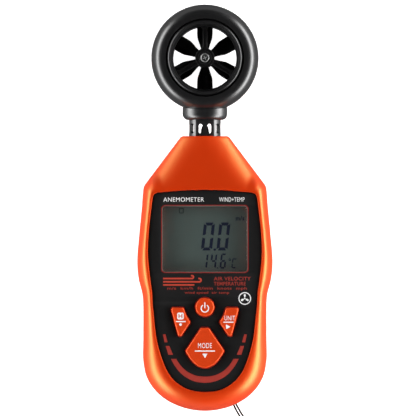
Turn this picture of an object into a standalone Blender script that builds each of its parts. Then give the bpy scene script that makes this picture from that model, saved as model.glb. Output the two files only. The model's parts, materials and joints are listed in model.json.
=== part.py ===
"""Handheld vane weather meter, lying on its back.

The row frame is in metres: +X to the reader's right, +Y towards the vane head, +Z out of the face.
The origin is under the middle of the meter, on the surface that its back rests on.
Lengths below are millimetres and are turned into metres by MM where a mesh is made.
"""

import math

import bmesh
import bpy
from mathutils import Matrix, Vector

MM = 0.001
GAP = 0.3           # clearance between neighbouring solids
OVERLAP = 0.2       # how far joined shapes run into each other
THROUGH = 1.0       # how far a cutter runs past the wall it cuts

# ---------------------------------------------------------------- driving dimensions
SPLIT_Z = 16.0      # parting plane of the case, height of the neck axis and of the head's mid plane
CREST_Z = 31.0      # raised rim round the face panel
DECK_TOP_Z = 29.6   # recessed deck under the face panel
DECK_LOW_Z = 27.8
PANEL_Z = (29.9, 30.5)
KEY_TOP_Z = 31.8
WALL = 2.1
BACK_WALL = 2.1
RIM_CHAMFER = 0.9   # from the crest down to the panel's edge

HEAD_Y = 65.5       # centre of the vane head
HEAD_R = 23.5
HEAD_HALF = 12.9       # half the head's depth
MOUTH_EDGE_R = 17.2    # where the outer skin starts to curve
HEAD_POWER = 2.7       # of the superellipse: 2 would be an ellipse
HEAD_SCREW_R = 18.9  # of the circle that the head's screws stand on
MOUTH_R = 13.8         # free radius of the guards; the duct between them is wider
DUCT_R = 14.4
NECK_R = 6.95
FLANGE_R = 7.9
COLLAR_R = 9.8

# Half outline of the case from the neck end round the right side to the bottom end.
# Each row is one station: silhouette x, y; crest x, y; edge of the flat back x, y;
# then the front wall's top, the front shoulder's height and the share of the run that is rounded,
# and the same three for the back.
STATIONS = (
    (0.0, 31.3, 0.0, 8.2, 0.0, 13.0, 24.2, 25.2, 0.045, 7.8, 6.8, 0.045),
    (9.7, 31.3, 9.5, 7.95, 9.0, 13.0, 24.2, 25.2, 0.045, 7.8, 6.8, 0.045),
    (10.7, 30.8, 10.6, 7.85, 10.4, 12.9, 23.6, 25.6, 0.09, 8.1, 6.4, 0.09),
    (24.9, 11.9, 20.6, 7.0, 21.3, 9.3, 19.5, 31.0, 1.0, 10.0, 0.0, 1.0),
    (26.6, 9.4, 22.3, 6.2, 22.5, 7.2, 19.0, 31.0, 1.0, 10.0, 0.0, 1.0),
    (27.1, 6.6, 23.1, 4.6, 22.9, 5.2, 19.0, 31.0, 1.0, 10.0, 0.0, 1.0),
    (27.6, 0.0, 23.75, 0.0, 23.3, -0.4, 19.0, 31.0, 1.0, 10.0, 0.0, 1.0),
    (28.7, -11.5, 24.9, -10.5, 24.4, -11.6, 19.0, 31.0, 1.0, 10.0, 0.0, 1.0),
    (29.6, -23.0, 25.25, -20.5, 25.2, -23.0, 19.0, 31.0, 1.0, 10.0, 0.0, 1.0),
    (29.0, -31.0, 24.4, -30.0, 24.7, -30.4, 19.0, 31.0, 1.0, 10.0, 0.0, 1.0),
    (27.4, -37.5, 23.45, -37.0, 23.2, -37.0, 19.0, 31.0, 1.0, 10.0, 0.0, 1.0),
    (26.96, -43.0, 23.1, -43.0, 22.7, -43.0, 19.0, 31.0, 1.0, 10.0, 0.0, 1.0),
    (26.96, -57.0, 21.5, -57.0, 22.7, -57.0, 19.0, 31.0, 1.0, 10.0, 0.0, 1.0),
    (26.96, -67.0, 19.1, -66.0, 22.4, -66.4, 18.5, 31.0, 1.0, 10.0, 0.0, 1.0),
    (24.91, -75.4, 16.3, -72.3, 20.3, -73.0, 18.0, 31.0, 1.0, 10.0, 0.0, 1.0),
    (19.06, -82.6, 12.4, -76.8, 15.3, -78.6, 18.0, 31.0, 1.0, 10.0, 0.0, 1.0),
    (10.32, -87.3, 6.7, -79.9, 8.3, -81.7, 18.0, 31.0, 1.0, 10.0, 0.0, 1.0),
    (0.0, -89.0, 0.0, -80.8, 0.0, -82.5, 18.0, 31.0, 1.0, 10.0, 0.0, 1.0),
)
STEPS_AFTER = {2: 4, 12: 1}    # points between a station and the next; 2 elsewhere
ROUND_STEPS = 4                # points up the rounded edge

# Key outlines, right half or whole, and what each key is called
WINDOW = (18.65, 14.45, -13.65, 1.4)     # half width, half height, centre y, corner radius
POWER_KEY = (0.0, -43.4, 4.07)           # x, y, radius
SIDE_KEY = ((14.9, -43.6), (9.3, -43.6), (8.2, -46.9), (6.3, -49.9), (10.3, -56.0), (11.6, -56.0))
MODE_KEY = ((1.7, -52.4), (8.5, -62.5), (6.1, -66.4), (3.3, -69.1), (0.0, -70.1))
KEY_CORNER = 0.9
KEY_TRAVEL = 0.7

CELL_R, CELL_LENGTH, CELL_PITCH = 5.2, 44.5, 10.8
CELL_Z = 2.6 + CELL_R
BAY_Y = (-77.4, -27.6)
BAY_HALF = 16.4
DOOR_TOP_Z = 2.0
DOOR_START_Y = -25.6
CASE_SCREWS = ((20.9, -62.0), (-20.9, -62.0), (16.5, 9.0), (-16.5, 9.0))

BOARD_Z = (17.6, 19.2)
EYELET = (13.0, -84.4)
EYELET_Z = (6.5, 11.0)

# ---------------------------------------------------------------- scene and helpers
for old in list(bpy.data.objects):
    bpy.data.objects.remove(old, do_unlink=True)


def new_collection(name):
    made = bpy.data.collections.new(name)
    bpy.context.scene.collection.children.link(made)
    return made


PARTS = new_collection("weather_meter")
CUTTERS = new_collection("cutters")


def material(name, color, roughness, metallic=0.0, alpha=1.0):
    made = bpy.data.materials.new(name)
    made.use_nodes = True
    shader = made.node_tree.nodes["Principled BSDF"]
    shader.inputs["Base Color"].default_value = (*color, 1.0)
    shader.inputs["Roughness"].default_value = roughness
    shader.inputs["Metallic"].default_value = metallic
    shader.inputs["Alpha"].default_value = alpha
    return made


ORANGE = material("case_orange", (0.78, 0.09, 0.008), 0.38)
KEY_ORANGE = material("key_orange", (0.75, 0.075, 0.01), 0.6)
BLACK = material("head_black", (0.012, 0.012, 0.013), 0.28)
PANEL_BLACK = material("panel_black", (0.008, 0.008, 0.009), 0.4)
LENS_CLEAR = material("lens_clear", (0.5, 0.52, 0.5), 0.08, alpha=0.35)
LCD_GREY = material("lcd_grey", (0.06, 0.075, 0.07), 0.3)
WHITE = material("light_guide_white", (0.8, 0.8, 0.78), 0.5)
SILICONE = material("silicone_grey", (0.2, 0.2, 0.2), 0.7)
BOARD_GREEN = material("board_green", (0.02, 0.12, 0.04), 0.45)
CHIP_BLACK = material("chip_black", (0.02, 0.02, 0.02), 0.5)
STEEL = material("steel", (0.55, 0.55, 0.56), 0.28, 1.0)
BRASS = material("brass", (0.7, 0.5, 0.2), 0.35, 1.0)
JACKET = material("cell_jacket", (0.05, 0.08, 0.12), 0.35, 0.3)
CORD = material("cord_black", (0.01, 0.01, 0.011), 0.8)


def link(obj, paint):
    """Puts obj among the parts, or among the cutters when it has no paint."""
    for holder in obj.users_collection:
        holder.objects.unlink(obj)
    if paint is None:
        CUTTERS.objects.link(obj)
        obj.hide_render = True
        obj.display_type = "WIRE"
    else:
        PARTS.objects.link(obj)
        obj.data.materials.clear()
        obj.data.materials.append(paint)
    return obj


def mesh_object(name, shape, paint, location=(0, 0, 0)):
    mesh = bpy.data.meshes.new(name)
    shape.to_mesh(mesh)
    shape.free()
    obj = bpy.data.objects.new(name, mesh)
    obj.location = Vector(location) * MM
    return link(obj, paint)


def shade_round(obj, angle=35):
    obj.data.shade_smooth()
    obj.data.set_sharp_from_angle(angle=math.radians(angle))
    return obj


AXES = {
    "Z": Matrix.Identity(4),
    "Y": Matrix.Rotation(math.radians(-90), 4, "X"),
    "X": Matrix.Rotation(math.radians(90), 4, "Y"),
}


def cylinder(name, paint, centre, radius, low, high, axis="Z", segments=24, top_radius=None):
    """A cylinder or cone from low to high along an axis that passes through centre."""
    shape = bmesh.new()
    bmesh.ops.create_cone(
        shape,
        cap_ends=True,
        segments=segments,
        radius1=radius * MM,
        radius2=(radius if top_radius is None else top_radius) * MM,
        depth=(high - low) * MM,
    )
    bmesh.ops.translate(shape, verts=shape.verts, vec=(0, 0, (low + high) / 2 * MM))
    bmesh.ops.transform(shape, matrix=AXES[axis], verts=shape.verts)
    return shade_round(mesh_object(name, shape, paint, centre))


def block(name, paint, low, high, bevel=0.0):
    """A box between two corners, with an optional bevel on its edges."""
    low, high = Vector(low), Vector(high)
    shape = bmesh.new()
    bmesh.ops.create_cube(shape, size=1.0)
    bmesh.ops.scale(shape, vec=(high - low) * MM, verts=shape.verts)
    obj = mesh_object(name, shape, paint, (low + high) / 2)
    if bevel:
        edge = obj.modifiers.new("edge", "BEVEL")
        edge.width = bevel * MM
        edge.segments = 2
        edge.limit_method = "ANGLE"
    return obj


def turned(name, paint, profile, centre, axis="Z", steps=40, closed=False):
    """A profile of (radius, height) points, outer side from top to bottom, turned round an axis."""
    mesh = bpy.data.meshes.new(name)
    points = [(r * MM, 0, h * MM) for r, h in profile]
    edges = [(i, i + 1) for i in range(len(points) - 1)]
    if closed:
        edges.append((len(points) - 1, 0))
    mesh.from_pydata(points, edges, [])
    obj = bpy.data.objects.new(name, mesh)
    obj.location = Vector(centre) * MM
    obj.rotation_euler = AXES[axis].to_euler()
    link(obj, paint)
    screw = obj.modifiers.new("turn", "SCREW")
    screw.steps = steps
    screw.render_steps = steps
    screw.use_merge_vertices = True
    screw.merge_threshold = 0.00001
    screw.use_smooth_shade = True
    return obj


def plate(name, paint, outlines, low, high):
    """A flat plate between two heights; outlines after the first are holes in it."""
    curve = bpy.data.curves.new(name, "CURVE")
    curve.dimensions = "2D"
    curve.fill_mode = "BOTH"
    curve.extrude = (high - low) / 2 * MM
    for outline in outlines:
        line = curve.splines.new("POLY")
        line.points.add(len(outline) - 1)
        for point, (x, y) in zip(line.points, outline):
            point.co = (x * MM, y * MM, 0, 1)
        line.use_cyclic_u = True
    obj = bpy.data.objects.new(name, curve)
    obj.location = (0, 0, (low + high) / 2 * MM)
    return link(obj, paint)


def wire(name, paint, points, radius, sides=2):
    """A round wire through the points, with closed ends."""
    curve = bpy.data.curves.new(name, "CURVE")
    curve.dimensions = "3D"
    curve.bevel_depth = radius * MM
    curve.bevel_resolution = sides
    curve.use_fill_caps = True
    line = curve.splines.new("POLY")
    line.points.add(len(points) - 1)
    for point, place in zip(line.points, points):
        point.co = (*(Vector(place) * MM), 1)
    obj = bpy.data.objects.new(name, curve)
    return link(obj, paint)


def as_mesh(obj):
    """The object again as a welded mesh with its modifiers applied, so that a Boolean takes it."""
    graph = bpy.context.evaluated_depsgraph_get()
    graph.update()
    name, place, paint = obj.name, obj.matrix_world.copy(), list(obj.data.materials)
    mesh = bpy.data.meshes.new_from_object(obj.evaluated_get(graph))
    holder = obj.users_collection[0]
    bpy.data.objects.remove(obj, do_unlink=True)
    shape = bmesh.new()
    shape.from_mesh(mesh)
    bmesh.ops.remove_doubles(shape, verts=shape.verts, dist=1e-7)
    shape.to_mesh(mesh)
    shape.free()
    made = bpy.data.objects.new(name, mesh)
    made.matrix_world = place
    holder.objects.link(made)
    made.hide_render = not paint
    made.display_type = "TEXTURED" if paint else "WIRE"
    return made


def boolean(target, other, operation):
    step = target.modifiers.new(f"{operation.lower()}_{other.name}", "BOOLEAN")
    step.operation = operation
    step.object = other
    step.solver = "EXACT"
    if operation != "DIFFERENCE" and other.name in PARTS.objects:
        PARTS.objects.unlink(other)
        CUTTERS.objects.link(other)
        other.hide_render = True
        other.display_type = "WIRE"
    return target


def cut(target, other):
    return boolean(target, other, "DIFFERENCE")


def add(target, other):
    return boolean(target, other, "UNION")


# ---------------------------------------------------------------- outlines
def smooth_points(rows, steps_after=None, steps=2):
    """Catmull-Rom points through rows of numbers; the end rows keep their own place."""
    found = []
    for i in range(len(rows) - 1):
        before, start, end = rows[max(i - 1, 0)], rows[i], rows[i + 1]
        after = rows[min(i + 2, len(rows) - 1)]
        count = (steps_after or {}).get(i, steps)
        for k in range(count):
            t = k / count
            found.append(
                tuple(
                    0.5 * (2 * b + (c - a) * t + (2 * a - 5 * b + 4 * c - d) * t**2
                           + (3 * b - a - 3 * c + d) * t**3)
                    for a, b, c, d in zip(before, start, end, after)
                )
            )
    found.append(rows[-1])
    return found


def blended_stations():
    """The half outline's stations with the points between them; the neck end stays straight."""
    flat_end = list(STATIONS[:2])
    corner = [STATIONS[1], STATIONS[2]]
    slope = [
        tuple(a + (b - a) * k / STEPS_AFTER[2] for a, b in zip(STATIONS[2], STATIONS[3]))
        for k in range(STEPS_AFTER[2])
    ]
    sides = smooth_points(STATIONS[3:], {9: 1})
    return flat_end[:1] + corner[:1] + slope + sides


HALF = blended_stations()


def around(pick, left_sign=-1):
    """A value of every station, counter-clockwise seen from +Z; left_sign turns x for the left side."""
    right = [pick(s) for s in HALF]
    left = [(left_sign * p[0], *p[1:]) for p in right[1:-1]]
    return [*right[::-1], *left]


def inset(loop, distance):
    """A closed loop of (x, y) points moved inwards, each edge by the same distance."""
    found = []
    for i, here in enumerate(loop):
        here, before, after = Vector(here), Vector(loop[i - 1]), Vector(loop[(i + 1) % len(loop)])
        a, b = (here - before).normalized(), (after - here).normalized()
        normal = Vector((-a.y - b.y, a.x + b.x)).normalized()
        reach = distance / max(normal.dot(Vector((-a.y, a.x))), 0.4)
        found.append((here.x + normal.x * reach, here.y + normal.y * reach))
    return found


SILHOUETTE = around(lambda s: (s[0], s[1]))
CREST = around(lambda s: (s[2], s[3]))
BACK_EDGE = around(lambda s: (s[4], s[5]))
FRONT_RISE = around(lambda s: s[6:9], 1)
BACK_RISE = around(lambda s: s[9:12], 1)
PANEL_EDGE = inset(CREST, RIM_CHAMFER)


def rounded(points, radius, steps=3):
    """The corners of a closed polygon, in either direction, made round."""
    found = []
    for i, here in enumerate(points):
        before, after = Vector(points[i - 1]), Vector(points[(i + 1) % len(points)])
        here = Vector(here)
        into, out = (before - here), (after - here)
        half = into.angle(out) / 2
        reach = min(radius / math.tan(half), 0.45 * into.length, 0.45 * out.length)
        start, end = here + into.normalized() * reach, here + out.normalized() * reach
        for k in range(steps + 1):
            t = k / steps
            found.append(tuple(start * (1 - t) ** 2 + here * 2 * t * (1 - t) + end * t**2))
    return found


def grown(points, distance):
    """A closed polygon moved outwards, whichever way round it runs."""
    turn = sum(
        a[0] * b[1] - a[1] * b[0] for a, b in zip(points, [*points[1:], points[0]])
    )
    return inset(points, -distance if turn > 0 else distance)


def circle(x, y, radius, steps=24):
    turns = [2 * math.pi * k / steps for k in range(steps)]
    return [(x + radius * math.cos(t), y + radius * math.sin(t)) for t in turns]


KEY_NAMES = ("power_key", "hold_key", "unit_key", "mode_key")


def key_outline(name, grow=0.0):
    """A key's outline, moved outwards by grow."""
    if name == "power_key":
        x, y, radius = POWER_KEY
        return circle(x, y, radius + grow)
    if name == "mode_key":
        corners = [*MODE_KEY, *[(-x, y) for x, y in MODE_KEY[-2::-1]]]
    else:
        side = -1 if name == "hold_key" else 1
        corners = [(side * x, y) for x, y in SIDE_KEY]
    return rounded(grown(corners, grow), KEY_CORNER + grow)


def window_outline(grow=0.0):
    half_w, half_h, y, radius = WINDOW
    w, h = half_w + grow, half_h + grow
    return rounded([(w, y - h), (w, y + h), (-w, y + h), (-w, y - h)], radius)


# ---------------------------------------------------------------- case shells
def loft(name, paint, rings):
    """A closed solid through rings of equal length, with flat ends."""
    shape = bmesh.new()
    rows = [[shape.verts.new(Vector(p) * MM) for p in ring] for ring in rings]
    count = len(rows[0])
    for low, high in zip(rows, rows[1:]):
        for i in range(count):
            j = (i + 1) % count
            shape.faces.new((low[i], low[j], high[j], high[i]))
    shape.faces.new(rows[0][::-1])
    shape.faces.new(rows[-1])
    bmesh.ops.recalc_face_normals(shape, faces=shape.faces)
    return mesh_object(name, shape, paint)


def case_rings(inner, rise, start_z, end_z, wall=0.0, wall_z=0.0):
    """Rings from the parting plane, up the wall, round the edge and along to the inner outline."""
    outer = inset(SILHOUETTE, wall) if wall else SILHOUETTE
    rings = [[(*p, start_z) for p in outer]]
    for k in range(ROUND_STEPS + 1):
        angle = math.radians(90 * k / ROUND_STEPS)
        ring = []
        for p, q, (low, high, share) in zip(outer, inner, rise):
            t = share * (1 - math.cos(angle))
            top = high - wall_z
            low = min(low, top - 0.5) if end_z > start_z else max(low, top + 0.5)
            z = low + (top - low) * math.sin(angle)
            ring.append((p[0] + (q[0] - p[0]) * t, p[1] + (q[1] - p[1]) * t, z))
        rings.append(ring)
    # Where the edge took the whole run, the last ring would repeat it, so it stands slightly inside.
    last = inset([(q[0], q[1]) for q in inner], OVERLAP)
    rings.append([(*q, end_z) for q in last])
    return rings


def cut_neck_seat(shell, side):
    """The way through the end wall for the sleeve, and the room for its flange behind the wall."""
    axis = (0, 0, SPLIT_Z)
    cut(shell, cylinder(f"{side}_neck_way", None, axis, NECK_R + GAP, 28.0, 33.0, "Y", 32))
    cut(shell, cylinder(f"{side}_flange_room", None, axis, FLANGE_R + GAP, 22.0, 28.9, "Y", 32))


def make_front_shell():
    shell = loft(
        "front_shell", ORANGE, case_rings(CREST, FRONT_RISE, SPLIT_Z + 0.15, CREST_Z)
    )
    hollow = loft(
        "front_hollow",
        None,
        case_rings(inset(CREST, 0.6), FRONT_RISE, SPLIT_Z - THROUGH, DECK_LOW_Z, WALL, CREST_Z - DECK_LOW_Z),
    )
    cut(shell, hollow)
    for i, (x, y) in enumerate(CASE_SCREWS):
        post = cylinder(f"front_post_{i}", None, (x, y, 0), 2.6, SPLIT_Z + 0.3, DECK_LOW_Z + 0.3, segments=16)
        add(shell, post)
        cut(shell, cylinder(f"pilot_{i}", None, (x, y, 0), 1.4, SPLIT_Z - THROUGH, 24.8, segments=12))
    recess = plate("panel_recess", None, [inset(CREST, RIM_CHAMFER - GAP)], DECK_TOP_Z, CREST_Z + THROUGH)
    cut(shell, as_mesh(recess))
    openings = [("window_opening", window_outline(-0.4))]
    openings += [(f"{n}_opening", key_outline(n, 0.45)) for n in KEY_NAMES]
    for name, line in openings:
        cut(shell, as_mesh(plate(name, None, [line], DECK_LOW_Z - THROUGH, CREST_Z)))
    cut_neck_seat(shell, "front")
    return shell


def door_prism(name, grow):
    """The sliding door's dovetail section, wider inside than outside, open past the bottom end."""
    low_half, high_half = 16.0 + grow, 16.9 + grow
    section = (
        (-low_half, -THROUGH), (low_half, -THROUGH),
        (low_half, 0.2), (high_half, DOOR_TOP_Z + grow),
        (-high_half, DOOR_TOP_Z + grow), (-low_half, 0.2),
    )
    return loft(
        name,
        None,
        [[(x, y, z) for x, z in section] for y in (-92.0, DOOR_START_Y + grow)],
    )


def back_solid(name, paint):
    return loft(name, paint, case_rings(BACK_EDGE, BACK_RISE, SPLIT_Z - 0.15, 0.0))


def make_rear_shell():
    shell = back_solid("rear_shell", ORANGE)
    hollow = loft(
        "rear_hollow",
        None,
        case_rings(
            inset(BACK_EDGE, 0.4), BACK_RISE, SPLIT_Z + THROUGH, BACK_WALL, WALL, -BACK_WALL
        ),
    )
    x, y = EYELET
    cut(hollow, block("eyelet_mass", None, (x - 5, -90, 0), (x + 5, y + 3.8, 13.6)))
    cut(shell, hollow)
    walls = (
        ("bay_left", (-BAY_HALF - 1.4, BAY_Y[0] - 1.4, 1.0), (-BAY_HALF, BAY_Y[1] + 1.4, 14.6)),
        ("bay_right", (BAY_HALF, BAY_Y[0] - 1.4, 1.0), (BAY_HALF + 1.4, BAY_Y[1] + 1.4, 14.6)),
        ("bay_low", (-BAY_HALF - OVERLAP, BAY_Y[0] - 1.4, 1.0), (BAY_HALF + OVERLAP, BAY_Y[0], 14.6)),
        ("bay_high", (-BAY_HALF - OVERLAP, BAY_Y[1], 1.0), (BAY_HALF + OVERLAP, BAY_Y[1] + 1.4, 14.6)),
        ("bay_roof", (-BAY_HALF - 0.7, BAY_Y[0] - 0.7, 13.4), (BAY_HALF + 0.7, BAY_Y[1] + 0.7, 14.5)),
    )
    for name, low, high in walls:
        add(shell, block(name, None, low, high))
    for i, (sx, sy) in enumerate(CASE_SCREWS):
        add(shell, cylinder(f"rear_post_{i}", None, (sx, sy, 0), 2.9, 0.6, SPLIT_Z - 0.3, segments=16))
        cut(shell, cylinder(f"screw_hole_{i}", None, (sx, sy, 0), 1.4, 3.0, SPLIT_Z + THROUGH, segments=12))
        cut(shell, cylinder(f"screw_seat_{i}", None, (sx, sy, 0), 2.3, -THROUGH, 5.0, segments=20))
    cut(shell, door_prism("door_opening", GAP))
    cut(shell, block("eyelet_pocket", None, (x - 3, -92, EYELET_Z[0]), (x + 3, y + 1.8, EYELET_Z[1])))
    cut(shell, cylinder("eyelet_pin_seat", None, (x, y, 0), 1.2, EYELET_Z[0] - 1.5, EYELET_Z[1] + 1.5, segments=16))
    cut_neck_seat(shell, "rear")
    return shell


def make_battery_door():
    door = back_solid("battery_door", ORANGE)
    door.location.z = 0.15 * MM
    boolean(door, door_prism("door_section", 0.0), "INTERSECT")
    for k in range(5):
        y = DOOR_START_Y - 4.0 - 1.6 * k
        cut(door, block(f"grip_groove_{k}", None, (-6.0, y - 0.4, -THROUGH), (6.0, y + 0.4, 0.65)))
    return door


def make_case_screw(i, x, y):
    screw = turned(
        f"case_screw_{i + 1}",
        STEEL,
        [(0, 24.0), (1.05, 24.0), (1.05, 4.7), (2.0, 4.7), (2.0, 3.1), (0, 3.1)],
        (x, y, 0),
        steps=16,
    )
    for k, size in enumerate(((1.3, 0.3), (0.3, 1.3))):
        w, h = size
        cut(screw, block(f"case_cross_{i}_{k}", None, (x - w, y - h, 2.0), (x + w, y + h, 3.9)))
    return screw


# ---------------------------------------------------------------- face, display and keys
def make_face_panel():
    holes = [window_outline(0.0), *[key_outline(n, 0.45) for n in KEY_NAMES]]
    return plate("face_panel", PANEL_BLACK, [PANEL_EDGE, *holes], *PANEL_Z)


def make_display():
    _, _, y, _ = WINDOW
    plate("display_lens", LENS_CLEAR, [window_outline(-GAP)], *PANEL_Z)
    block("lcd_glass", LCD_GREY, (-21.2, y - 17.6, 25.1), (21.2, y + 17.6, 27.5), 0.2)
    block("lcd_backlight", WHITE, (-20.0, y - 14.9, 19.5), (20.0, y + 14.9, 24.8), 0.4)
    for name, side in (("zebra_strip_upper", 1), ("zebra_strip_lower", -1)):
        low, high = sorted((y + side * 15.4, y + side * 17.4))
        block(name, SILICONE, (-19.0, low, 19.5), (19.0, high, 24.8))


def centre_of(outline):
    return [sum(p[k] for p in outline) / len(outline) for k in range(2)]


def make_keys():
    for name in KEY_NAMES:
        line = key_outline(name)
        x, y = centre_of(line)
        if name == "power_key":
            x, y = POWER_KEY[:2]
        key = as_mesh(plate(name, KEY_ORANGE, [line], 26.8, KEY_TOP_Z))
        edge = key.modifiers.new("soft_edge", "BEVEL")
        edge.width = 0.4 * MM
        edge.segments = 1
        edge.limit_method = "ANGLE"
        edge.angle_limit = math.radians(60)
        add(key, as_mesh(plate(f"{name}_flange", None, [key_outline(name, 0.85)], 26.0, 27.3)))
        add(key, cylinder(f"{name}_stem", None, (x, y, 0), 1.7, 22.6, 26.3, segments=16))
        switch = block(
            name.replace("_key", "_switch"), CHIP_BLACK, (x - 2.9, y - 2.9, 19.5), (x + 2.9, y + 2.9, 20.9), 0.2
        )
        add(switch, cylinder(f"{name}_dome", None, (x, y, 0), 1.7, 20.5, 21.6, segments=16, top_radius=1.4))


def make_keypad_web():
    outline = rounded(
        [(17.6, -37.5), (-17.6, -37.5), (-17.6, -58.0), (-11.5, -72.6), (11.5, -72.6), (17.6, -58.0)], 2.0
    )
    holes = [key_outline(n, 1.2) for n in KEY_NAMES]
    return plate("keypad_web", SILICONE, [outline, *holes], 25.9, 27.4)


def make_board():
    right = ((18.0, -66.0), (18.0, -56.5), (23.0, -54.0), (23.0, 4.0), (13.4, 5.8), (13.4, 13.0), (8.5, 22.4))
    outline = [*right, *[(-x, y) for x, y in reversed(right)]]
    plate("main_board", BOARD_GREEN, [outline], *BOARD_Z)
    block("controller_chip", CHIP_BLACK, (-5.0, -40.0, 15.9), (5.0, -30.0, 17.3), 0.2)
    block("cable_connector", WHITE, (-4.2, 17.0, 19.5), (4.2, 21.0, 22.3), 0.2)


# ---------------------------------------------------------------- battery bay
def make_cell(i):
    """One cell; the middle one lies the other way round. Its spring presses on the flat end."""
    x = (i - 1) * CELL_PITCH
    nub_up = i != 1
    top = BAY_Y[1] - 0.9
    bottom = BAY_Y[0] + 0.9
    profile = [
        (0, CELL_LENGTH), (1.7, CELL_LENGTH), (1.7, CELL_LENGTH - 0.9), (CELL_R - 0.3, CELL_LENGTH - 1.1),
        (CELL_R, CELL_LENGTH - 1.5), (CELL_R, 0.4), (CELL_R - 0.4, 0), (0, 0),
    ]
    place = (x, top - CELL_LENGTH, CELL_Z) if nub_up else (x, bottom + CELL_LENGTH, CELL_Z)
    cell = turned(f"battery_cell_{i + 1}", JACKET, profile, place, "Y", 20)
    if not nub_up:
        cell.rotation_euler = Matrix.Rotation(math.radians(90), 4, "X").to_euler()
    start, end = (bottom, top - CELL_LENGTH) if nub_up else (top, bottom + CELL_LENGTH)
    length = abs(end - start) - 2 * GAP
    turns, per_turn, wire_r = 2.5, 10, 0.25
    count = int(turns * per_turn)
    side = 1 if end > start else -1
    points = []
    for k in range(count + 1):
        t = k / count
        angle = 2 * math.pi * turns * t
        radius = 3.2 - 1.4 * t
        y = start + side * (GAP + wire_r + (length - 2 * wire_r) * t)
        points.append((x + radius * math.cos(angle), y, CELL_Z + radius * math.sin(angle)))
    wire(f"battery_spring_{i + 1}", STEEL, points, wire_r, 1)


def make_battery_contacts():
    for name, y in (("battery_contact_upper", BAY_Y[1] - 0.6), ("battery_contact_lower", BAY_Y[0] + 0.3)):
        block(name, STEEL, (-BAY_HALF + 0.4, y, 3.2), (BAY_HALF - 0.4, y + 0.3, 12.8))


# ---------------------------------------------------------------- neck, collar and sensor
def make_neck():
    sleeve = turned(
        "neck_sleeve",
        BLACK,
        [(NECK_R, 41.3), (NECK_R, 28.6), (FLANGE_R, 28.6), (FLANGE_R, 27.0), (5.5, 27.0), (5.5, 41.3)],
        (0, 0, SPLIT_Z),
        "Y",
        40,
        closed=True,
    )
    slot_low, slot_high, slot_r, pairs = 32.4, 36.9, 1.15, 5
    for k in range(pairs):
        outline = []
        for centre, first in ((slot_high - slot_r, 0), (slot_low + slot_r, 180)):
            for step in range(5):
                turn = math.radians(first + 45 * step)
                outline.append((slot_r * math.cos(turn), centre + slot_r * math.sin(turn)))
        slot = as_mesh(plate(f"neck_slot_{k}", None, [outline], -9.0, 9.0))
        turn = Matrix.Rotation(math.radians(18 + 36 * k), 4, "Y")
        slot.matrix_world = Matrix.Translation((0, 0, SPLIT_Z * MM)) @ turn @ slot.matrix_world
        cut(sleeve, slot)
    carrier = ((-1.9, 25.0), (1.9, 25.0), (1.3, 35.6), (-1.3, 35.6))
    plate("sensor_carrier", BOARD_GREEN, [carrier], SPLIT_Z - 0.5, SPLIT_Z + 0.5)
    block("temperature_sensor", CHIP_BLACK, (-1.1, 35.9, SPLIT_Z - 0.8), (1.1, 38.3, SPLIT_Z + 0.8), 0.3)
    route = [
        (-3.0, 21.3, 20.9), (-3.1, 22.9, 20.7), (-3.3, 25.4, 18.9), (-3.3, 28.3, 16.9), (-3.3, 32.0, 16.1),
        (-3.3, 36.0, 16.0), (-3.2, 39.5, 16.0), (-2.6, 42.5, 16.0), (-2.2, 45.0, 15.4), (-2.2, 45.8, 14.6),
    ]
    wire("head_cable", CORD, smooth_points(route), 0.6, 2)


def ring_profile(sign, grow=0.0, steps=8):
    """The head's outer skin from the mouth to the mid plane, a quarter of a superellipse, going outwards."""
    width, height = HEAD_R - MOUTH_EDGE_R + grow, HEAD_HALF + grow
    points = [(MOUTH_EDGE_R - 0.1, sign * height)]
    for k in range(steps + 1):
        angle = math.radians(90 * k / steps)
        r = MOUTH_EDGE_R + width * math.sin(angle) ** (2 / HEAD_POWER)
        h = height * math.cos(angle) ** (2 / HEAD_POWER)
        points.append((r, sign * max(h, 0.15)))
    return points


def head_skin(name, sign):
    """Half of the head's outer shell, hollow towards the mid plane, with screw posts inside."""
    outer = ring_profile(sign)
    inner = [
        (22.0, 0.15), (22.0, 2.6), (21.5, 5.4), (20.8, 7.6), (19.9, 9.4), (18.8, 10.8), (17.9, 11.3), (17.1, 11.4),
    ]
    profile = outer + [(r, sign * h) for r, h in inner]
    if sign < 0:
        profile.reverse()
    skin = turned(name, BLACK, profile, (0, HEAD_Y, SPLIT_Z), "Z", 40, closed=True)
    for k in range(3):
        place = (*head_screw_place(k), SPLIT_Z)
        if sign > 0:
            add(skin, cylinder(f"head_post_{k}", None, place, 1.9, 0.4, 11.2, segments=14, top_radius=1.2))
            cut(skin, cylinder(f"head_pilot_{k}", None, place, 1.0, -THROUGH, 7.6, segments=10))
        else:
            add(skin, cylinder(f"head_well_{k}", None, place, 1.9, -10.8, -0.4, segments=16, top_radius=2.6))
            cut(skin, cylinder(f"head_hole_{k}", None, place, 1.0, -12.0, THROUGH, segments=10))
            cut(skin, cylinder(f"head_seat_{k}", None, place, 1.6, -14.0, -8.0, segments=16))
    cut(skin, cylinder(f"{name}_cable_way", None, (-2.5, 0, SPLIT_Z), 1.3, 40.0, 45.0, "Y", 16))
    return skin


def head_screw_place(k):
    angle = math.radians(90 + 120 * k)
    return HEAD_SCREW_R * math.cos(angle), HEAD_Y + HEAD_SCREW_R * math.sin(angle)


def make_head_screws():
    for k in range(3):
        x, y = head_screw_place(k)
        screw = turned(
            f"head_screw_{k + 1}",
            STEEL,
            [(0, 7.2), (0.7, 7.2), (0.7, -8.3), (1.3, -8.3), (1.3, -9.5), (0, -9.5)],
            (x, y, SPLIT_Z),
            steps=12,
        )
        for part, (w, h) in enumerate(((0.85, 0.2), (0.2, 0.85))):
            low = (x - w, y - h, SPLIT_Z - 11.0)
            cut(screw, block(f"head_cross_{k}_{part}", None, low, (x + w, y + h, SPLIT_Z - 9.0)))


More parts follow.
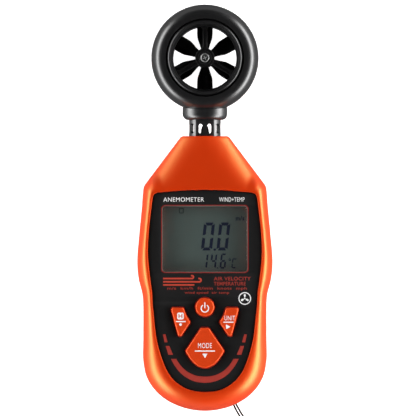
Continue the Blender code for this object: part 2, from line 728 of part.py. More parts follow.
def make_collar():
    collar = turned(
        "neck_collar",
        BLACK,
        [
            (COLLAR_R, 50.0), (COLLAR_R, 41.0), (9.4, 39.6), (8.6, 38.75), (7.6, 38.4), (NECK_R + GAP, 38.4),
            (NECK_R + GAP, 50.0),
        ],
        (0, 0, SPLIT_Z),
        "Y",
        32,
        closed=True,
    )
    front, back = ring_profile(1, GAP), ring_profile(-1, GAP)
    solid = [(0, 13.2), *front[:-1], *back[-2::-1], (0, -13.2)]
    cut(collar, as_mesh(turned("head_bulk", None, solid, (0, HEAD_Y, SPLIT_Z), "Z", 40)))
    return collar


# ---------------------------------------------------------------- vane: guards, impeller and bearings
def guard(name, sign):
    """The duct's liner with its rolled lip, three arms and the bearing hub."""
    profile = [
        (15.4, 0.15), (15.4, 11.2), (16.7, 11.6), (16.7, 12.7), (16.1, 13.0), (15.3, 12.9), (14.9, 12.2),
        (14.5, 11.0), (MOUTH_R, 9.6), (MOUTH_R, 4.9), (DUCT_R, 4.3), (DUCT_R, 0.15),
    ]
    profile = [(r, sign * h) for r, h in profile]
    if sign > 0:
        profile.reverse()
    liner = turned(name, BLACK, profile, (0, HEAD_Y, SPLIT_Z), "Z", 40, closed=True)
    low, high = sorted((sign * 5.0, sign * 8.2))
    add(liner, cylinder(f"{name}_hub", None, (0, HEAD_Y, SPLIT_Z), 4.25, low, high, segments=28))
    low, high = sorted((sign * 8.0, sign * 9.0))
    add(liner, cylinder(f"{name}_step", None, (0, HEAD_Y, SPLIT_Z), 3.0, low, high, segments=24))
    for k in range(3):
        z = sorted((sign * 5.9, sign * 7.9))
        arm = block(f"{name}_arm_{k}", None, (3.6, -0.95, z[0]), (14.2, 0.95, z[1]))
        turn = Matrix.Rotation(math.radians(90 + 120 * k), 4, "Z")
        arm.matrix_world = Matrix.Translation(Vector((0, HEAD_Y, SPLIT_Z)) * MM) @ turn @ Matrix.Translation(
            arm.location
        )
        add(liner, arm)
    bore = sorted((sign * 4.0, sign * 10.0))
    cut(liner, cylinder(f"{name}_bore", None, (0, HEAD_Y, SPLIT_Z), 2.25, *bore, segments=20))
    return liner


def make_guards():
    guard("front_guard", 1)
    rear = guard("rear_guard", -1)
    cut(rear, block("pickup_window", None, (-1.9, 47.2, SPLIT_Z - 3.9), (1.9, 53.0, SPLIT_Z - 0.5)))
    block("optical_pickup", CHIP_BLACK, (-1.6, 47.9, SPLIT_Z - 3.6), (1.6, 50.9, SPLIT_Z - 0.8), 0.2)
    block("pickup_board", BOARD_GREEN, (-3.4, 46.6, SPLIT_Z - 4.8), (3.4, 47.6, SPLIT_Z - 0.2))


def blade_mesh():
    """One helical blade along +X: narrow at the hub and petal-wide at the tip."""
    stations = ((2.7, 2.4), (4.3, 3.05), (6.8, 4.6), (9.5, 6.4), (11.6, 6.6), (14.0, 6.7))
    half_height = 3.0
    shape = bmesh.new()
    rows = []
    for radius, width in stations:
        row = []
        for v in (-0.5, 0.0, 0.5):
            tangent = width * v
            reach = math.sqrt(max(radius**2 - tangent**2, 0.0)) if radius > 6 else radius
            row.append(shape.verts.new(Vector((reach, tangent, -2 * half_height * v)) * MM))
        rows.append(row)
    for low, high in zip(rows, rows[1:]):
        for i in range(2):
            shape.faces.new((low[i], high[i], high[i + 1], low[i + 1]))
    return shape


def make_impeller():
    centre = (0, HEAD_Y, SPLIT_Z)
    hub = turned(
        "impeller",
        BLACK,
        [(0.8, 4.0), (2.6, 4.0), (3.5, 3.1), (3.5, -3.1), (2.6, -4.0), (0.8, -4.0)],
        centre,
        "Z",
        24,
        closed=True,
    )
    for k in range(6):
        blade = mesh_object(f"blade_{k}", blade_mesh(), None, centre)
        skin = blade.modifiers.new("thickness", "SOLIDIFY")
        skin.thickness = 0.6 * MM
        skin.offset = 0
        blade.rotation_euler = (0, 0, math.radians(90 + 60 * k))
        add(hub, blade)
    cylinder("impeller_shaft", STEEL, centre, 0.5, -6.9, 6.9, segments=12)
    for name, sign in (("front_bearing", 1), ("rear_bearing", -1)):
        profile = [(1.9, 7.3), (1.9, 5.2), (0.59, 5.2), (0.59, 7.3)]
        profile = [(r, sign * h) for r, h in profile]
        if sign < 0:
            profile.reverse()
        turned(name, BRASS, profile, centre, "Z", 16, closed=True)
    for name, sign in (("front_bearing_cap", 1), ("rear_bearing_cap", -1)):
        low, high = sorted((sign * 7.6, sign * 9.3))
        cap = cylinder(name, STEEL, centre, 1.95, low, high, segments=20)
        dish = sorted((sign * 8.9, sign * 10.0))
        cut(cap, cylinder(f"{name}_dish", None, centre, 1.3, *dish, segments=16))


# ---------------------------------------------------------------- wrist strap
STRAND_R = 0.4
WRIST_CORD_R = 1.2
FERRULE = (29.0, -112.0, 2.1)          # middle of the clip that joins loop and wrist cord
FERRULE_HALF = (3.1, 5.0, 2.0)
HANK_CENTRE = (29.0, -139.8)
HANK_STRAIGHT = 22.0                   # length of the straight runs
HANK_R = 10.8                          # outside radius of its round ends
HANK_TOP_Z = 5.0
# The two strands of the thin loop, from the eyelet pin to the clip
STRANDS = {
    "strap_strand_left": (
        (12.5, -86.0, 8.9), (12.9, -87.2, 8.5), (13.9, -89.2, 6.9), (15.3, -91.6, 5.2), (17.3, -94.4, 3.5),
        (20.0, -97.4, 1.6), (22.9, -99.8, 0.5), (25.6, -101.8, 0.45), (27.4, -103.9, 0.9), (28.2, -106.6, 2.1),
    ),
    "strap_strand_right": (
        (13.6, -86.0, 8.9), (14.2, -87.2, 8.5), (15.3, -89.2, 7.0), (16.8, -91.6, 5.3), (19.0, -94.2, 3.5),
        (21.9, -96.7, 1.6), (25.0, -98.5, 0.5), (27.9, -100.6, 0.45), (29.4, -103.4, 0.9), (29.8, -106.6, 2.1),
    ),
}


def make_strap():
    x, y = EYELET
    cylinder("strap_pin", STEEL, (x, y, 0), 0.9, EYELET_Z[0] - 1.2, EYELET_Z[1] + 1.2, segments=14)
    for name, points in STRANDS.items():
        wire(name, CORD, smooth_points(points), STRAND_R, 2)
    low = [c - h for c, h in zip(FERRULE, FERRULE_HALF)]
    high = [c + h for c, h in zip(FERRULE, FERRULE_HALF)]
    block("strap_clip", BLACK, low, high, 0.8)
    cx, cy = HANK_CENTRE
    outline = []
    for side, first in ((1, 0), (-1, 180)):
        for step in range(9):
            turn = math.radians(first + 22.5 * step)
            outline.append(
                (cx + HANK_R * math.cos(turn), cy + side * HANK_STRAIGHT / 2 + HANK_R * math.sin(turn))
            )
    plate("strap_hank", CORD, [outline], 0.05, HANK_TOP_Z)


# ---------------------------------------------------------------- build
make_front_shell()
make_rear_shell()
make_battery_door()
for number, (screw_x, screw_y) in enumerate(CASE_SCREWS):
    make_case_screw(number, screw_x, screw_y)
make_face_panel()
make_display()
make_keys()
make_keypad_web()
make_board()
for number in range(3):
    make_cell(number)
make_battery_contacts()
make_neck()
head_skin("head_front_shell", 1)
head_skin("head_rear_shell", -1)
make_head_screws()
make_collar()
make_guards()
make_impeller()
make_strap()
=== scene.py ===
"""Handheld vane weather meter lying on its back: finished pieces, materials, camera and light.

Lengths in the tables below are millimetres. The row frame is metres: +Y towards the vane head, +Z out
of the face, and the meter's back rests on z = 0.
"""

import json
from math import copysign, cos, pi, radians, sin, sqrt, tan

import bmesh
import bpy
from mathutils import Matrix, Vector


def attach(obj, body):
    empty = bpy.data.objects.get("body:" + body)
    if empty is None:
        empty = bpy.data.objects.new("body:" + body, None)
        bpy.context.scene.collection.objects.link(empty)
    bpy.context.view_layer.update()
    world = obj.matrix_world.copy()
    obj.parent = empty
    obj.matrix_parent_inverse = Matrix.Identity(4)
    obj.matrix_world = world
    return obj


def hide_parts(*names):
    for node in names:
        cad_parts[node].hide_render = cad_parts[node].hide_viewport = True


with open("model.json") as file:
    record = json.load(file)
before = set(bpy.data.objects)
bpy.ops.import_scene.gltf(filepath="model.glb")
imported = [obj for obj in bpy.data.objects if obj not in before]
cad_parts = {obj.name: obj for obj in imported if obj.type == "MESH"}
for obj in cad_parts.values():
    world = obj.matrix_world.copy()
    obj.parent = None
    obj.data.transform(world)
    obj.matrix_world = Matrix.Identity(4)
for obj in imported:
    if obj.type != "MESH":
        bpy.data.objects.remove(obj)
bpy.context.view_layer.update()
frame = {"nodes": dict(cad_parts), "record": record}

MM = 0.001
GAP = 0.3

# ---- dimensions
SPLIT_Z = 16.0
CREST_Z = 31.0
DECK_TOP_Z = 29.6
DECK_LOW_Z = 27.8
PANEL_Z = (29.9, 30.5)
PRINT_Z = (PANEL_Z[1] - 0.02, PANEL_Z[1] + 0.03)
WALL = 2.1
RIM_CHAMFER = 0.45

HEAD = (0.0, 65.5, SPLIT_Z)
HEAD_R = 23.5
HEAD_HALF = 12.9
MOUTH_EDGE_R = 17.2
HEAD_POWER = 2.7
HEAD_SCREW_R = 18.9
MOUTH_R = 13.8
DUCT_R = 14.4
NECK_R = 6.95
NECK_END_Y = 31.3
FLANGE_R = 7.9
COLLAR_R = 9.8
COLLAR_END_Y = 41.3

# Stations of the half outline: silhouette x, y; crest x, y; edge of the flat back x, y;
# front wall's top, front shoulder's height, rounded share of the run; the same three for the back.
# TALL holds the last five where both walls are tall and fully round.
TALL = (31.0, 1.0, 10.0, 0.0, 1.0)
STATIONS = (
    (0.0, NECK_END_Y, 0.0, 8.2, 0.0, 13.0, 24.2, 25.2, 0.045, 7.8, 6.8, 0.045),
    (9.7, NECK_END_Y, 9.5, 7.95, 9.0, 13.0, 24.2, 25.2, 0.045, 7.8, 6.8, 0.045),
    (10.7, 30.8, 10.6, 7.85, 10.4, 12.9, 23.6, 25.6, 0.09, 8.1, 6.4, 0.09),
    (24.9, 11.9, 20.6, 7.0, 21.3, 9.3, 19.5, *TALL),
    (26.6, 9.4, 22.3, 6.2, 22.5, 7.2, 19.0, *TALL),
    (27.1, 6.6, 23.1, 4.6, 22.9, 5.2, 19.0, *TALL),
    (27.6, 0.0, 23.75, 0.0, 23.3, -0.4, 19.0, *TALL),
    (28.7, -11.5, 24.9, -10.5, 24.4, -11.6, 19.0, *TALL),
    (29.6, -23.0, 25.25, -20.5, 25.2, -23.0, 19.0, *TALL),
    (29.0, -31.0, 24.4, -30.0, 24.7, -30.4, 19.0, *TALL),
    (27.4, -37.5, 23.45, -37.0, 23.2, -37.0, 19.0, *TALL),
    (26.96, -43.0, 23.1, -43.0, 22.7, -43.0, 19.0, *TALL),
    (26.96, -57.0, 21.5, -57.0, 22.7, -57.0, 19.0, *TALL),
    (26.96, -67.0, 19.1, -66.0, 22.4, -66.4, 18.5, *TALL),
    (24.91, -75.4, 16.3, -72.3, 20.3, -73.0, 18.0, *TALL),
    (19.06, -82.6, 12.4, -76.8, 15.3, -78.6, 18.0, *TALL),
    (10.32, -87.3, 6.7, -79.9, 8.3, -81.7, 18.0, *TALL),
    (0.0, -89.0, 0.0, -80.8, 0.0, -82.5, 18.0, *TALL),
)
STRAIGHT_STEPS = (6, 2, 14)        # for the three straight stretches from the neck to the slanted edge's end
CURVE_STEPS = 6

RAMP = (8.2, 0.251)            # where the face starts to fall towards the neck, and its fall per millimetre
SHOULDER_LOW = 19.5
SHOULDER_RUN = 12.0            # how far in from the slanted edges the shoulders stay curved
EDGE_POWER = 2.2
SLANT = (Vector((24.9, 11.9)), Vector((18.9, 14.2)).normalized())    # a point of the edge and its normal

WINDOW = (18.65, 14.45, -13.65, 1.4)        # half width, half height, middle y and corner radius
LCD_TOP_Z = 27.5
POWER_KEY = (0.0, -43.4, 4.07)
SIDE_KEY = ((14.9, -43.6), (9.3, -43.6), (8.2, -46.9), (6.3, -49.9), (10.3, -56.0), (11.6, -56.0))
MODE_KEY = ((1.7, -52.4), (8.5, -62.5), (6.1, -66.4), (3.3, -69.1), (0.0, -70.1))
MODE_LOW_Y = -65.0            # the mode key's corners below this are wide
MODE_LOW_CORNER = 12.0
KEY_CORNER = 0.9
KEY_CLEARANCE = 0.45
KEY_TOP_Z = 31.8
KEY_SKIRT_Z = 26.8
KEY_ROUND = (0.62, 0.75)             # width and height of the round edge
KEY_FLANGE = (0.85, 26.0, 27.3)      # growth past the outline, and heights
KEY_STEM = (1.7, 22.6, 26.3)         # radius and heights
KEY_LIP = (0.4, 0.1, 28.9, 30.3)     # growth of the outer and the inner edge, and heights
KEY_NAMES = ("power_key", "hold_key", "unit_key", "mode_key")

BAY_Y = (-77.4, -27.6)
BAY_HALF = 16.4
BAY_WALL = 1.4
BAY_Z = (1.0, 14.6)
DOOR_TOP_Z = 2.0
DOOR_START_Y = -25.6
DOOR_HALVES = (16.0, 16.9)    # half widths of the door outside and inside
# Round tools below are a radius, two heights and the radius at the upper height
CASE_SCREWS = ((20.9, -62.0, 0.0), (-20.9, -62.0, 0.0), (16.5, 9.0, 0.0), (-16.5, 9.0, 0.0))
CASE_POSTS = [(2.9, 0.6, SPLIT_Z - GAP, 2.9)]
CASE_HOLES = [(1.4, 3.0, SPLIT_Z + 1, 1.4), (2.3, -1.0, 5.0, 2.3), (3.3, -0.5, 0.7, 2.1)]
HEAD_POSTS = {1: [(1.9, 0.4, 11.2, 1.2)], -1: [(1.9, -10.8, -0.4, 2.6)]}            # front and rear
HEAD_HOLES = {1: [(1.0, -1.0, 7.6, 1.0)], -1: [(1.0, -12.0, 1.0, 1.0), (1.6, -14.0, -8.0, 1.6)]}
PAST_END_Y = -92.0            # beyond the case's lower end
EYELET = (13.0, -84.4)
EYELET_Z = (6.5, 11.0)

# ---- camera
VIEW_MM = (1.36, -0.15, 182.3)     # middle x and y, and width, at the height of the parting plane
CAMERA_MM = 3000.0


def make_camera():
    x, y, width = VIEW_MM
    data = bpy.data.cameras.new("camera")
    data.lens = data.sensor_width * CAMERA_MM / width
    data.clip_start, data.clip_end = 0.05, 20.0
    camera = bpy.data.objects.new("camera", data)
    camera.location = Vector((x, y, SPLIT_Z + CAMERA_MM)) * MM
    bpy.context.scene.collection.objects.link(camera)
    bpy.context.scene.camera = camera


make_camera()


# ---- material recipes
def feed(tree, node, inputs):
    """Sets a node's inputs to numbers or colours, or links other nodes' outputs to them."""
    for key, value in inputs.items():
        entry = node.inputs[int(key[1:]) if key[1:].isdigit() else key.replace("_", " ")]
        if isinstance(value, bpy.types.NodeSocket):
            tree.links.new(value, entry)
        else:
            entry.default_value = (*value, 1.0) if entry.type == "RGBA" else value


def sock(tree, kind, out=0, settings=None, **inputs):
    """Adds a node and returns one output; an input goes by its name, or by its number as in i0."""
    node = tree.nodes.new("ShaderNode" + kind)
    for key, value in (settings or {}).items():
        setattr(node, key, value)
    feed(tree, node, inputs)
    return node.outputs[out]


class Recipe:
    """A new Principled material, with the nodes that most recipes share."""

    def __init__(self, name, **constants):
        self.made = bpy.data.materials.new(name)
        self.made.use_nodes = True
        self.tree = self.made.node_tree
        self.place = self.node("TexCoord", "Object")
        self.give(**constants)

    def give(self, **inputs):
        """Sets or links the shader's own sockets."""
        feed(self.tree, self.tree.nodes["Principled BSDF"], inputs)

    def node(self, kind, out=0, settings=None, **inputs):
        return sock(self.tree, kind, out, settings, **inputs)

    def noise(self, scale, detail=3.0, roughness=0.5, place=None):
        place = place or self.place
        return self.node("TexNoise", Vector=place, Scale=scale, Detail=detail, Roughness=roughness)

    def spread(self, value, low=0.0, high=1.0, source=(0.3, 0.7)):
        return self.node("MapRange", i0=value, i1=source[0], i2=source[1], i3=low, i4=high)

    def mixed(self, factor, a, b):
        """Colour a where factor is 0 and b where it is 1."""
        return self.node("Mix", 2, {"data_type": "RGBA"}, i0=factor, i6=a, i7=b)

    def finish(self, height, depth):
        """Adds the fine relief and hands the material over."""
        self.give(Normal=self.node("Bump", Height=height, Distance=depth))
        return self.made


def moulded(name, dark, light, rough, grain=3200, depth=0.00002, blotch=55, **constants):
    """Moulded plastic or rubber: two close colours in soft blotches, a fine grain and uneven gloss."""
    new = Recipe(name, **constants)
    # Convex edges turn lighter: partly edge wear, partly a painted highlight where rounded rims catch the
    # side light.
    wear_and_highlight = new.spread(new.node("NewGeometry", "Pointiness"), 0.0, 0.5, (0.5, 0.62))
    base = new.mixed(new.spread(new.noise(blotch, 4.0, 0.6)), dark, light)
    edge = [min(1.0, c * 1.5 + 0.01) for c in light]
    gloss = new.spread(new.noise(420, 4.0, 0.65), *rough)
    new.give(Base_Color=new.mixed(wear_and_highlight, base, edge), Roughness=gloss)
    return new.finish(new.noise(grain, 2.0), depth)


def printed(name, color, rough=(0.45, 0.6), glow=0.0):
    """Screen-printed ink: slightly uneven cover and gloss."""
    new = Recipe(name)
    ink = new.mixed(new.spread(new.noise(900)), color, [c * 0.86 for c in color])
    new.give(Base_Color=ink, Roughness=new.spread(new.noise(2500, 2.0), *rough))
    # A glow is painted light: the ink emits its own colour so it looks brighter than its light makes it.
    if glow:
        new.give(Emission_Color=ink, Emission_Strength=glow)
    return new.finish(new.noise(6000, 2.0), 0.000006)


def metal(name, color, rough, scratch=(900, 900, 60), depth=0.000004):
    """Bright metal with fine drawn scratches and a little tarnish."""
    new = Recipe(name, Metallic=1.0)
    lines = new.noise(3.0, 5.0, 0.7, new.node("Mapping", Vector=new.place, Scale=scratch))
    tone = new.mixed(new.spread(new.noise(260, 4.0)), color, [c * 0.72 for c in color])
    new.give(Base_Color=tone, Roughness=new.spread(lines, *rough))
    return new.finish(lines, depth)


ORANGE = moulded(
    "case_orange", (0.56, 0.023, 0.0003), (0.59, 0.026, 0.0004), (0.34, 0.4), 3000, 0.000008,
    Specular_Tint=(1.0, 0.84, 0.22), Specular_IOR_Level=1.0,
)
KEY_ORANGE = moulded(
    "key_orange", (0.6, 0.036, 0.003), (0.7, 0.046, 0.005), (0.42, 0.55), 4200, 0.00003, 1900,
    Specular_Tint=(1.0, 0.76, 0.3),
)
BLACK = moulded(
    "head_black", (0.004, 0.004, 0.0043), (0.006, 0.006, 0.0064), (0.28, 0.33), 3500, 0.000003,
    Specular_IOR_Level=0.7,
)
PANEL_BLACK = moulded(
    "panel_black", (0.006, 0.006, 0.0062), (0.008, 0.008, 0.0082), (0.4, 0.48), 5200, 0.000003,
    Specular_IOR_Level=0.2,
)
VANE_BLACK = moulded("vane_black", (0.004, 0.004, 0.004), (0.008, 0.008, 0.008), (0.4, 0.55), 3000, 0.00001)
# The web's dark red is painted shade: orange silicone darkened to look shaded in the gaps round the keys.
WEB_SHADED_RED = moulded("web_silicone_painted_shade", (0.3, 0.012, 0.006), (0.36, 0.016, 0.008), (0.5, 0.65), 3000)
SILICONE = moulded("silicone_grey", (0.16, 0.16, 0.165), (0.22, 0.22, 0.22), (0.6, 0.8), 3000, 0.00003)
WHITE_PLASTIC = moulded("light_guide_white", (0.7, 0.7, 0.68), (0.82, 0.82, 0.8), (0.35, 0.5))
CHIP = moulded("chip_black", (0.014, 0.014, 0.015), (0.024, 0.024, 0.025), (0.45, 0.6), 6000, 0.00003)
# The white ink glows a little: painted light that brightens the print.
WHITE_INK = printed("ink_white", (0.75, 0.75, 0.75), glow=0.3)
RED_INK = printed("ink_red", (0.55, 0.05, 0.022))
DARK_RED_INK = printed("ink_dark_red", (0.38, 0.03, 0.018))
FRAME_INK = printed("ink_window_line", (0.3, 0.022, 0.016))
LCD_INK = printed("lcd_segments_navy", (0.02, 0.03, 0.11), (0.3, 0.4))
LCD_FAINT = printed("lcd_segments_faint", (0.09, 0.12, 0.12), (0.3, 0.4))
CAP_METAL = metal("cap_nickel", (0.85, 0.85, 0.84), (0.4, 0.55))
# The dish is dark metal: painted shade that stands for a deep recess inside the cap.
DISH_SHADE_METAL = metal("cap_dish", (0.16, 0.16, 0.165), (0.35, 0.5))
STEEL = metal("steel", (0.55, 0.55, 0.56), (0.2, 0.38))
BRASS = metal("brass", (0.66, 0.46, 0.19), (0.25, 0.42))


def lcd_material():
    new = Recipe("lcd_glass")
    tint = new.mixed(new.spread(new.noise(32, 2.0)), (0.29, 0.39, 0.355), (0.3, 0.4, 0.37))
    new.give(Base_Color=tint, Roughness=new.spread(new.noise(700), 0.28, 0.36))
    return new.finish(new.noise(9000, 1.0), 0.000002)


def lens_material():
    new = Recipe("window_clear", Alpha=0.32, IOR=1.49)
    tint = new.mixed(new.noise(60), (0.012, 0.014, 0.014), (0.016, 0.018, 0.018))
    new.give(Base_Color=tint, Roughness=new.spread(new.noise(1400, 4.0), 0.06, 0.14))
    return new.made


def board_material():
    """Green solder mask over a pattern of tracks, with tinned pads."""
    new = Recipe("board_green")
    mask = new.node(
        "TexBrick", Vector=new.place, Scale=420.0, Mortar_Size=0.035, Color1=(0.012, 0.1, 0.035),
        Color2=(0.016, 0.13, 0.045), Mortar=(0.006, 0.05, 0.02),
    )
    pads = new.spread(new.node("TexVoronoi", Vector=new.place, Scale=310.0), 1.0, 0.0, (0.1, 0.14))
    new.give(Base_Color=new.mixed(pads, mask, (0.5, 0.5, 0.48)), Metallic=pads)
    new.give(Roughness=new.spread(new.noise(500), 0.28, 0.42))
    return new.finish(mask.node.outputs["Fac"], 0.00002)


def jacket_material():
    """A printed sleeve: a dark band and a copper band round the cell, with bright ends."""
    new = Recipe("cell_jacket", Metallic=0.55)
    y = new.node("SeparateXYZ", 1, Vector=new.place)
    band = new.node("Math", settings={"operation": "GREATER_THAN"}, i0=y, i1=-0.044)
    ends = new.node("Math", settings={"operation": "COMPARE"}, i0=y, i1=-0.0521, i2=0.0225)
    sleeve = new.mixed(band, (0.012, 0.016, 0.022), (0.5, 0.2, 0.07))
    new.give(Base_Color=new.mixed(ends, (0.6, 0.6, 0.6), sleeve))
    new.give(Roughness=new.spread(new.noise(500, 4.0), 0.26, 0.4))
    return new.finish(new.noise(1800), 0.00001)


def cord_material():
    """Black woven cord: charcoal fibres that catch light along the plait."""
    new = Recipe("cord_black", Specular_IOR_Level=0.12)
    fibre = new.noise(5200, 4.0, 0.7)
    tone = new.mixed(new.spread(fibre), (0.003, 0.003, 0.0032), (0.014, 0.014, 0.0145))
    new.give(Base_Color=tone, Roughness=new.spread(fibre, 0.6, 0.85))
    return new.finish(fibre, 0.00006)


LCD_GLASS, CORD = lcd_material(), cord_material()
LENS = lens_material()
SLOT_OF = {
    "case_orange": ORANGE, "key_orange": KEY_ORANGE, "head_black": BLACK, "panel_black": PANEL_BLACK,
    "lens_clear": LENS, "lcd_grey": LCD_GLASS, "light_guide_white": WHITE_PLASTIC,
    "silicone_grey": SILICONE, "board_green": board_material(), "chip_black": CHIP, "steel": STEEL,
    "brass": BRASS, "cell_jacket": jacket_material(), "cord_black": CORD,
}
for entry in frame["record"]["subparts"]:
    for material_slot in frame["nodes"][entry["node"]].material_slots:
        material_slot.material = SLOT_OF[entry["material_slot"]]

# ---- mesh helpers
COLLECTION = bpy.data.collections.new("meter_finish")
bpy.context.scene.collection.children.link(COLLECTION)
AXES = {"Z": Matrix.Identity(4), "Y": Matrix.Rotation(radians(-90), 4, "X")}


def placed(piece, node=None, body="case"):
    """Hides the CAD node that a piece stands for, if any, and says what the piece rides on."""
    if node:
        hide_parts(node)
    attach(piece, body)


def discard(*objects):
    for obj in objects:
        bpy.data.objects.remove(obj, do_unlink=True)


def shaded(mesh, sharp):
    mesh.shade_smooth()
    mesh.set_sharp_from_angle(angle=radians(sharp))


def from_bmesh(name, shape, paint, sharp=32):
    mesh = bpy.data.meshes.new(name)
    bmesh.ops.recalc_face_normals(shape, faces=shape.faces)
    shape.to_mesh(mesh)
    shape.free()
    obj = bpy.data.objects.new(name, mesh)
    COLLECTION.objects.link(obj)
    mesh.materials.append(paint)
    shaded(mesh, sharp)
    return obj


def applied(obj, sharp=32):
    """The object with its modifiers made real."""
    graph = bpy.context.evaluated_depsgraph_get()
    graph.update()
    mesh = bpy.data.meshes.new_from_object(obj.evaluated_get(graph))
    old = obj.data
    obj.modifiers.clear()
    if obj.type == "MESH":
        obj.data = mesh
        bpy.data.meshes.remove(old)
    else:
        name = obj.name
        discard(obj)
        obj = bpy.data.objects.new(name, mesh)
        COLLECTION.objects.link(obj)
    shaded(mesh, sharp)
    return obj


def combine(target, cuts=(), joins=(), keeps=(), sharp=32):
    """Joins, cuts and keeps what lies inside, in that order, with Booleans, and clears the tools away."""
    for others, operation in ((joins, "UNION"), (cuts, "DIFFERENCE"), (keeps, "INTERSECT")):
        for other in others:
            step = target.modifiers.new(other.name, "BOOLEAN")
            step.operation, step.object, step.solver = operation, other, "EXACT"
    target = applied(target, sharp)
    discard(*cuts, *joins, *keeps)
    return target


def softened(obj, width, segments=2, angle=40):
    """Rounded edges, made real."""
    edge = obj.modifiers.new("edge", "BEVEL")
    edge.width, edge.segments = width * MM, segments
    edge.limit_method, edge.angle_limit = "ANGLE", radians(angle)
    return applied(obj)


def bridge(shape, rows):
    """Faces between each closed row of vertices and the next; a row may be one vertex repeated."""
    count = len(rows[0])
    for low, high in zip(rows, rows[1:]):
        for i in range(count):
            j = (i + 1) % count
            corners = list(dict.fromkeys((low[i], low[j], high[j], high[i])))
            if len(corners) > 2:
                shape.faces.new(corners)


def loft(name, rings, paint, sharp=32):
    """A solid through closed rings of equal length."""
    shape = bmesh.new()
    rows = [[shape.verts.new(Vector(p) * MM) for p in ring] for ring in rings]
    bridge(shape, rows)
    shape.faces.new(rows[0][::-1])
    shape.faces.new(rows[-1])
    bmesh.ops.remove_doubles(shape, verts=shape.verts, dist=2e-6)
    return from_bmesh(name, shape, paint, sharp)


def turned(name, profile, paint, centre=(0, 0, 0), axis="Z", steps=96, closed=True):
    """A profile of (radius, height) points turned round an axis; radius 0 closes on the axis."""
    shape = bmesh.new()
    rows = []
    for r, h in profile:
        if r < 1e-6:
            rows.append([shape.verts.new((0, 0, h * MM))] * steps)
        else:
            turns = [2 * pi * k / steps for k in range(steps)]
            rows.append([shape.verts.new((r * MM * cos(t), r * MM * sin(t), h * MM)) for t in turns])
    bridge(shape, [*rows, rows[0]] if closed else rows)
    bmesh.ops.transform(shape, matrix=AXES[axis], verts=shape.verts)
    bmesh.ops.translate(shape, vec=Vector(centre) * MM, verts=shape.verts)
    return from_bmesh(name, shape, paint)


def rod(name, centre, radius, low, high, paint, axis="Z", steps=48, top_radius=None):
    top = radius if top_radius is None else top_radius
    return turned(name, [(0, low), (radius, low), (top, high), (0, high)], paint, centre, axis, steps, False)


def rods(centres, tools, paint, axis="Z", steps=48):
    """Every round tool at every centre."""
    return [
        rod("tool", centre, radius, low, high, paint, axis, steps, top)
        for centre in centres for radius, low, high, top in tools
    ]


def block(name, low, high, paint, round_to=0.0, segments=2):
    low, high = Vector(low) * MM, Vector(high) * MM
    shape = bmesh.new()
    bmesh.ops.create_cube(shape, size=1.0)
    bmesh.ops.scale(shape, vec=high - low, verts=shape.verts)
    bmesh.ops.translate(shape, vec=(low + high) / 2, verts=shape.verts)
    obj = from_bmesh(name, shape, paint)
    return softened(obj, round_to, segments) if round_to else obj


def drawn(name, kind, paint):
    """A new flat, filled curve or text, and its object."""
    curve = bpy.data.curves.new(name, kind)
    curve.dimensions, curve.fill_mode = "2D", "BOTH"
    curve.materials.append(paint)
    obj = bpy.data.objects.new(name, curve)
    COLLECTION.objects.link(obj)
    return curve, obj


def plate(name, outlines, low, high, paint, round_to=0.0):
    """A flat plate between two heights; outlines after the first are holes or further islands."""
    curve, obj = drawn(name, "CURVE", paint)
    curve.extrude = ((high - low) / 2 - round_to) * MM
    curve.bevel_depth, curve.bevel_resolution, curve.offset = round_to * MM, 1, -round_to * MM
    for outline in outlines:
        line = curve.splines.new("POLY")
        line.points.add(len(outline) - 1)
        for point, (x, y) in zip(line.points, outline):
            point.co = (x * MM, y * MM, 0, 1)
        line.use_cyclic_u = True
    obj = applied(obj)
    shape = bmesh.new()
    shape.from_mesh(obj.data)
    bmesh.ops.remove_doubles(shape, verts=shape.verts, dist=1e-7)
    bmesh.ops.translate(shape, vec=(0, 0, (low + high) / 2 * MM), verts=shape.verts)
    discard(obj)
    return from_bmesh(name, shape, paint)


def joined(name, objects):
    """One object from several, each keeping its material."""
    shape = bmesh.new()
    paints = []
    for obj in objects:
        piece = bmesh.new()
        piece.from_mesh(obj.data)
        paint = obj.data.materials[0]
        if paint not in paints:
            paints.append(paint)
        for face in piece.faces:
            face.material_index = paints.index(paint)
        spare = bpy.data.meshes.new("spare")
        piece.to_mesh(spare)
        piece.free()
        shape.from_mesh(spare)
        bpy.data.meshes.remove(spare)
    obj = from_bmesh(name, shape, paints[0])
    for paint in paints[1:]:
        obj.data.materials.append(paint)
    discard(*objects)
    return obj


# ---- outlines
def spline(rows, steps=6, beyond=None):
    """Catmull-Rom points through rows of numbers; beyond is a row past the end that sets its direction."""
    found = []
    for i, (here, there) in enumerate(zip(rows, rows[1:])):
        before = rows[max(i - 1, 0)]
        after = rows[i + 2] if i + 2 < len(rows) else beyond or rows[-1]
        for k in range(steps):
            t = k / steps
            found.append(tuple(
                0.5 * (2 * b + (c - a) * t + (2 * a - 5 * b + 4 * c - d) * t**2
                       + (3 * b - a - 3 * c + d) * t**3)
                for a, b, c, d in zip(before, here, there, after)
            ))
    return [*found, tuple(rows[-1])]


def blended_stations():
    """The stations with closer ones between them: straight at first, then on a smooth curve."""
    found = []
    for i, steps in enumerate(STRAIGHT_STEPS):
        ends = list(zip(STATIONS[i], STATIONS[i + 1]))
        found += [tuple(a + (b - a) * k / steps for a, b in ends) for k in range(steps)]
    mirrored = [-v if k in (0, 2, 4) else v for k, v in enumerate(STATIONS[-2])]
    return [*found, *spline(STATIONS[len(STRAIGHT_STEPS):], CURVE_STEPS, mirrored)]


HALF = blended_stations()


def around(first, last, left_sign=-1):
    """Columns of every station, counter-clockwise seen from +Z; left_sign turns x for the left side."""
    right = [s[first:last] for s in HALF]
    left = [(left_sign * p[0], *p[1:]) for p in right[1:-1]]
    return [*right[::-1], *left]


SILHOUETTE = around(0, 2)
CREST = around(2, 4)
BACK_EDGE = around(4, 6)
FRONT_RISE = around(6, 9, 1)
BACK_RISE = around(9, 12, 1)


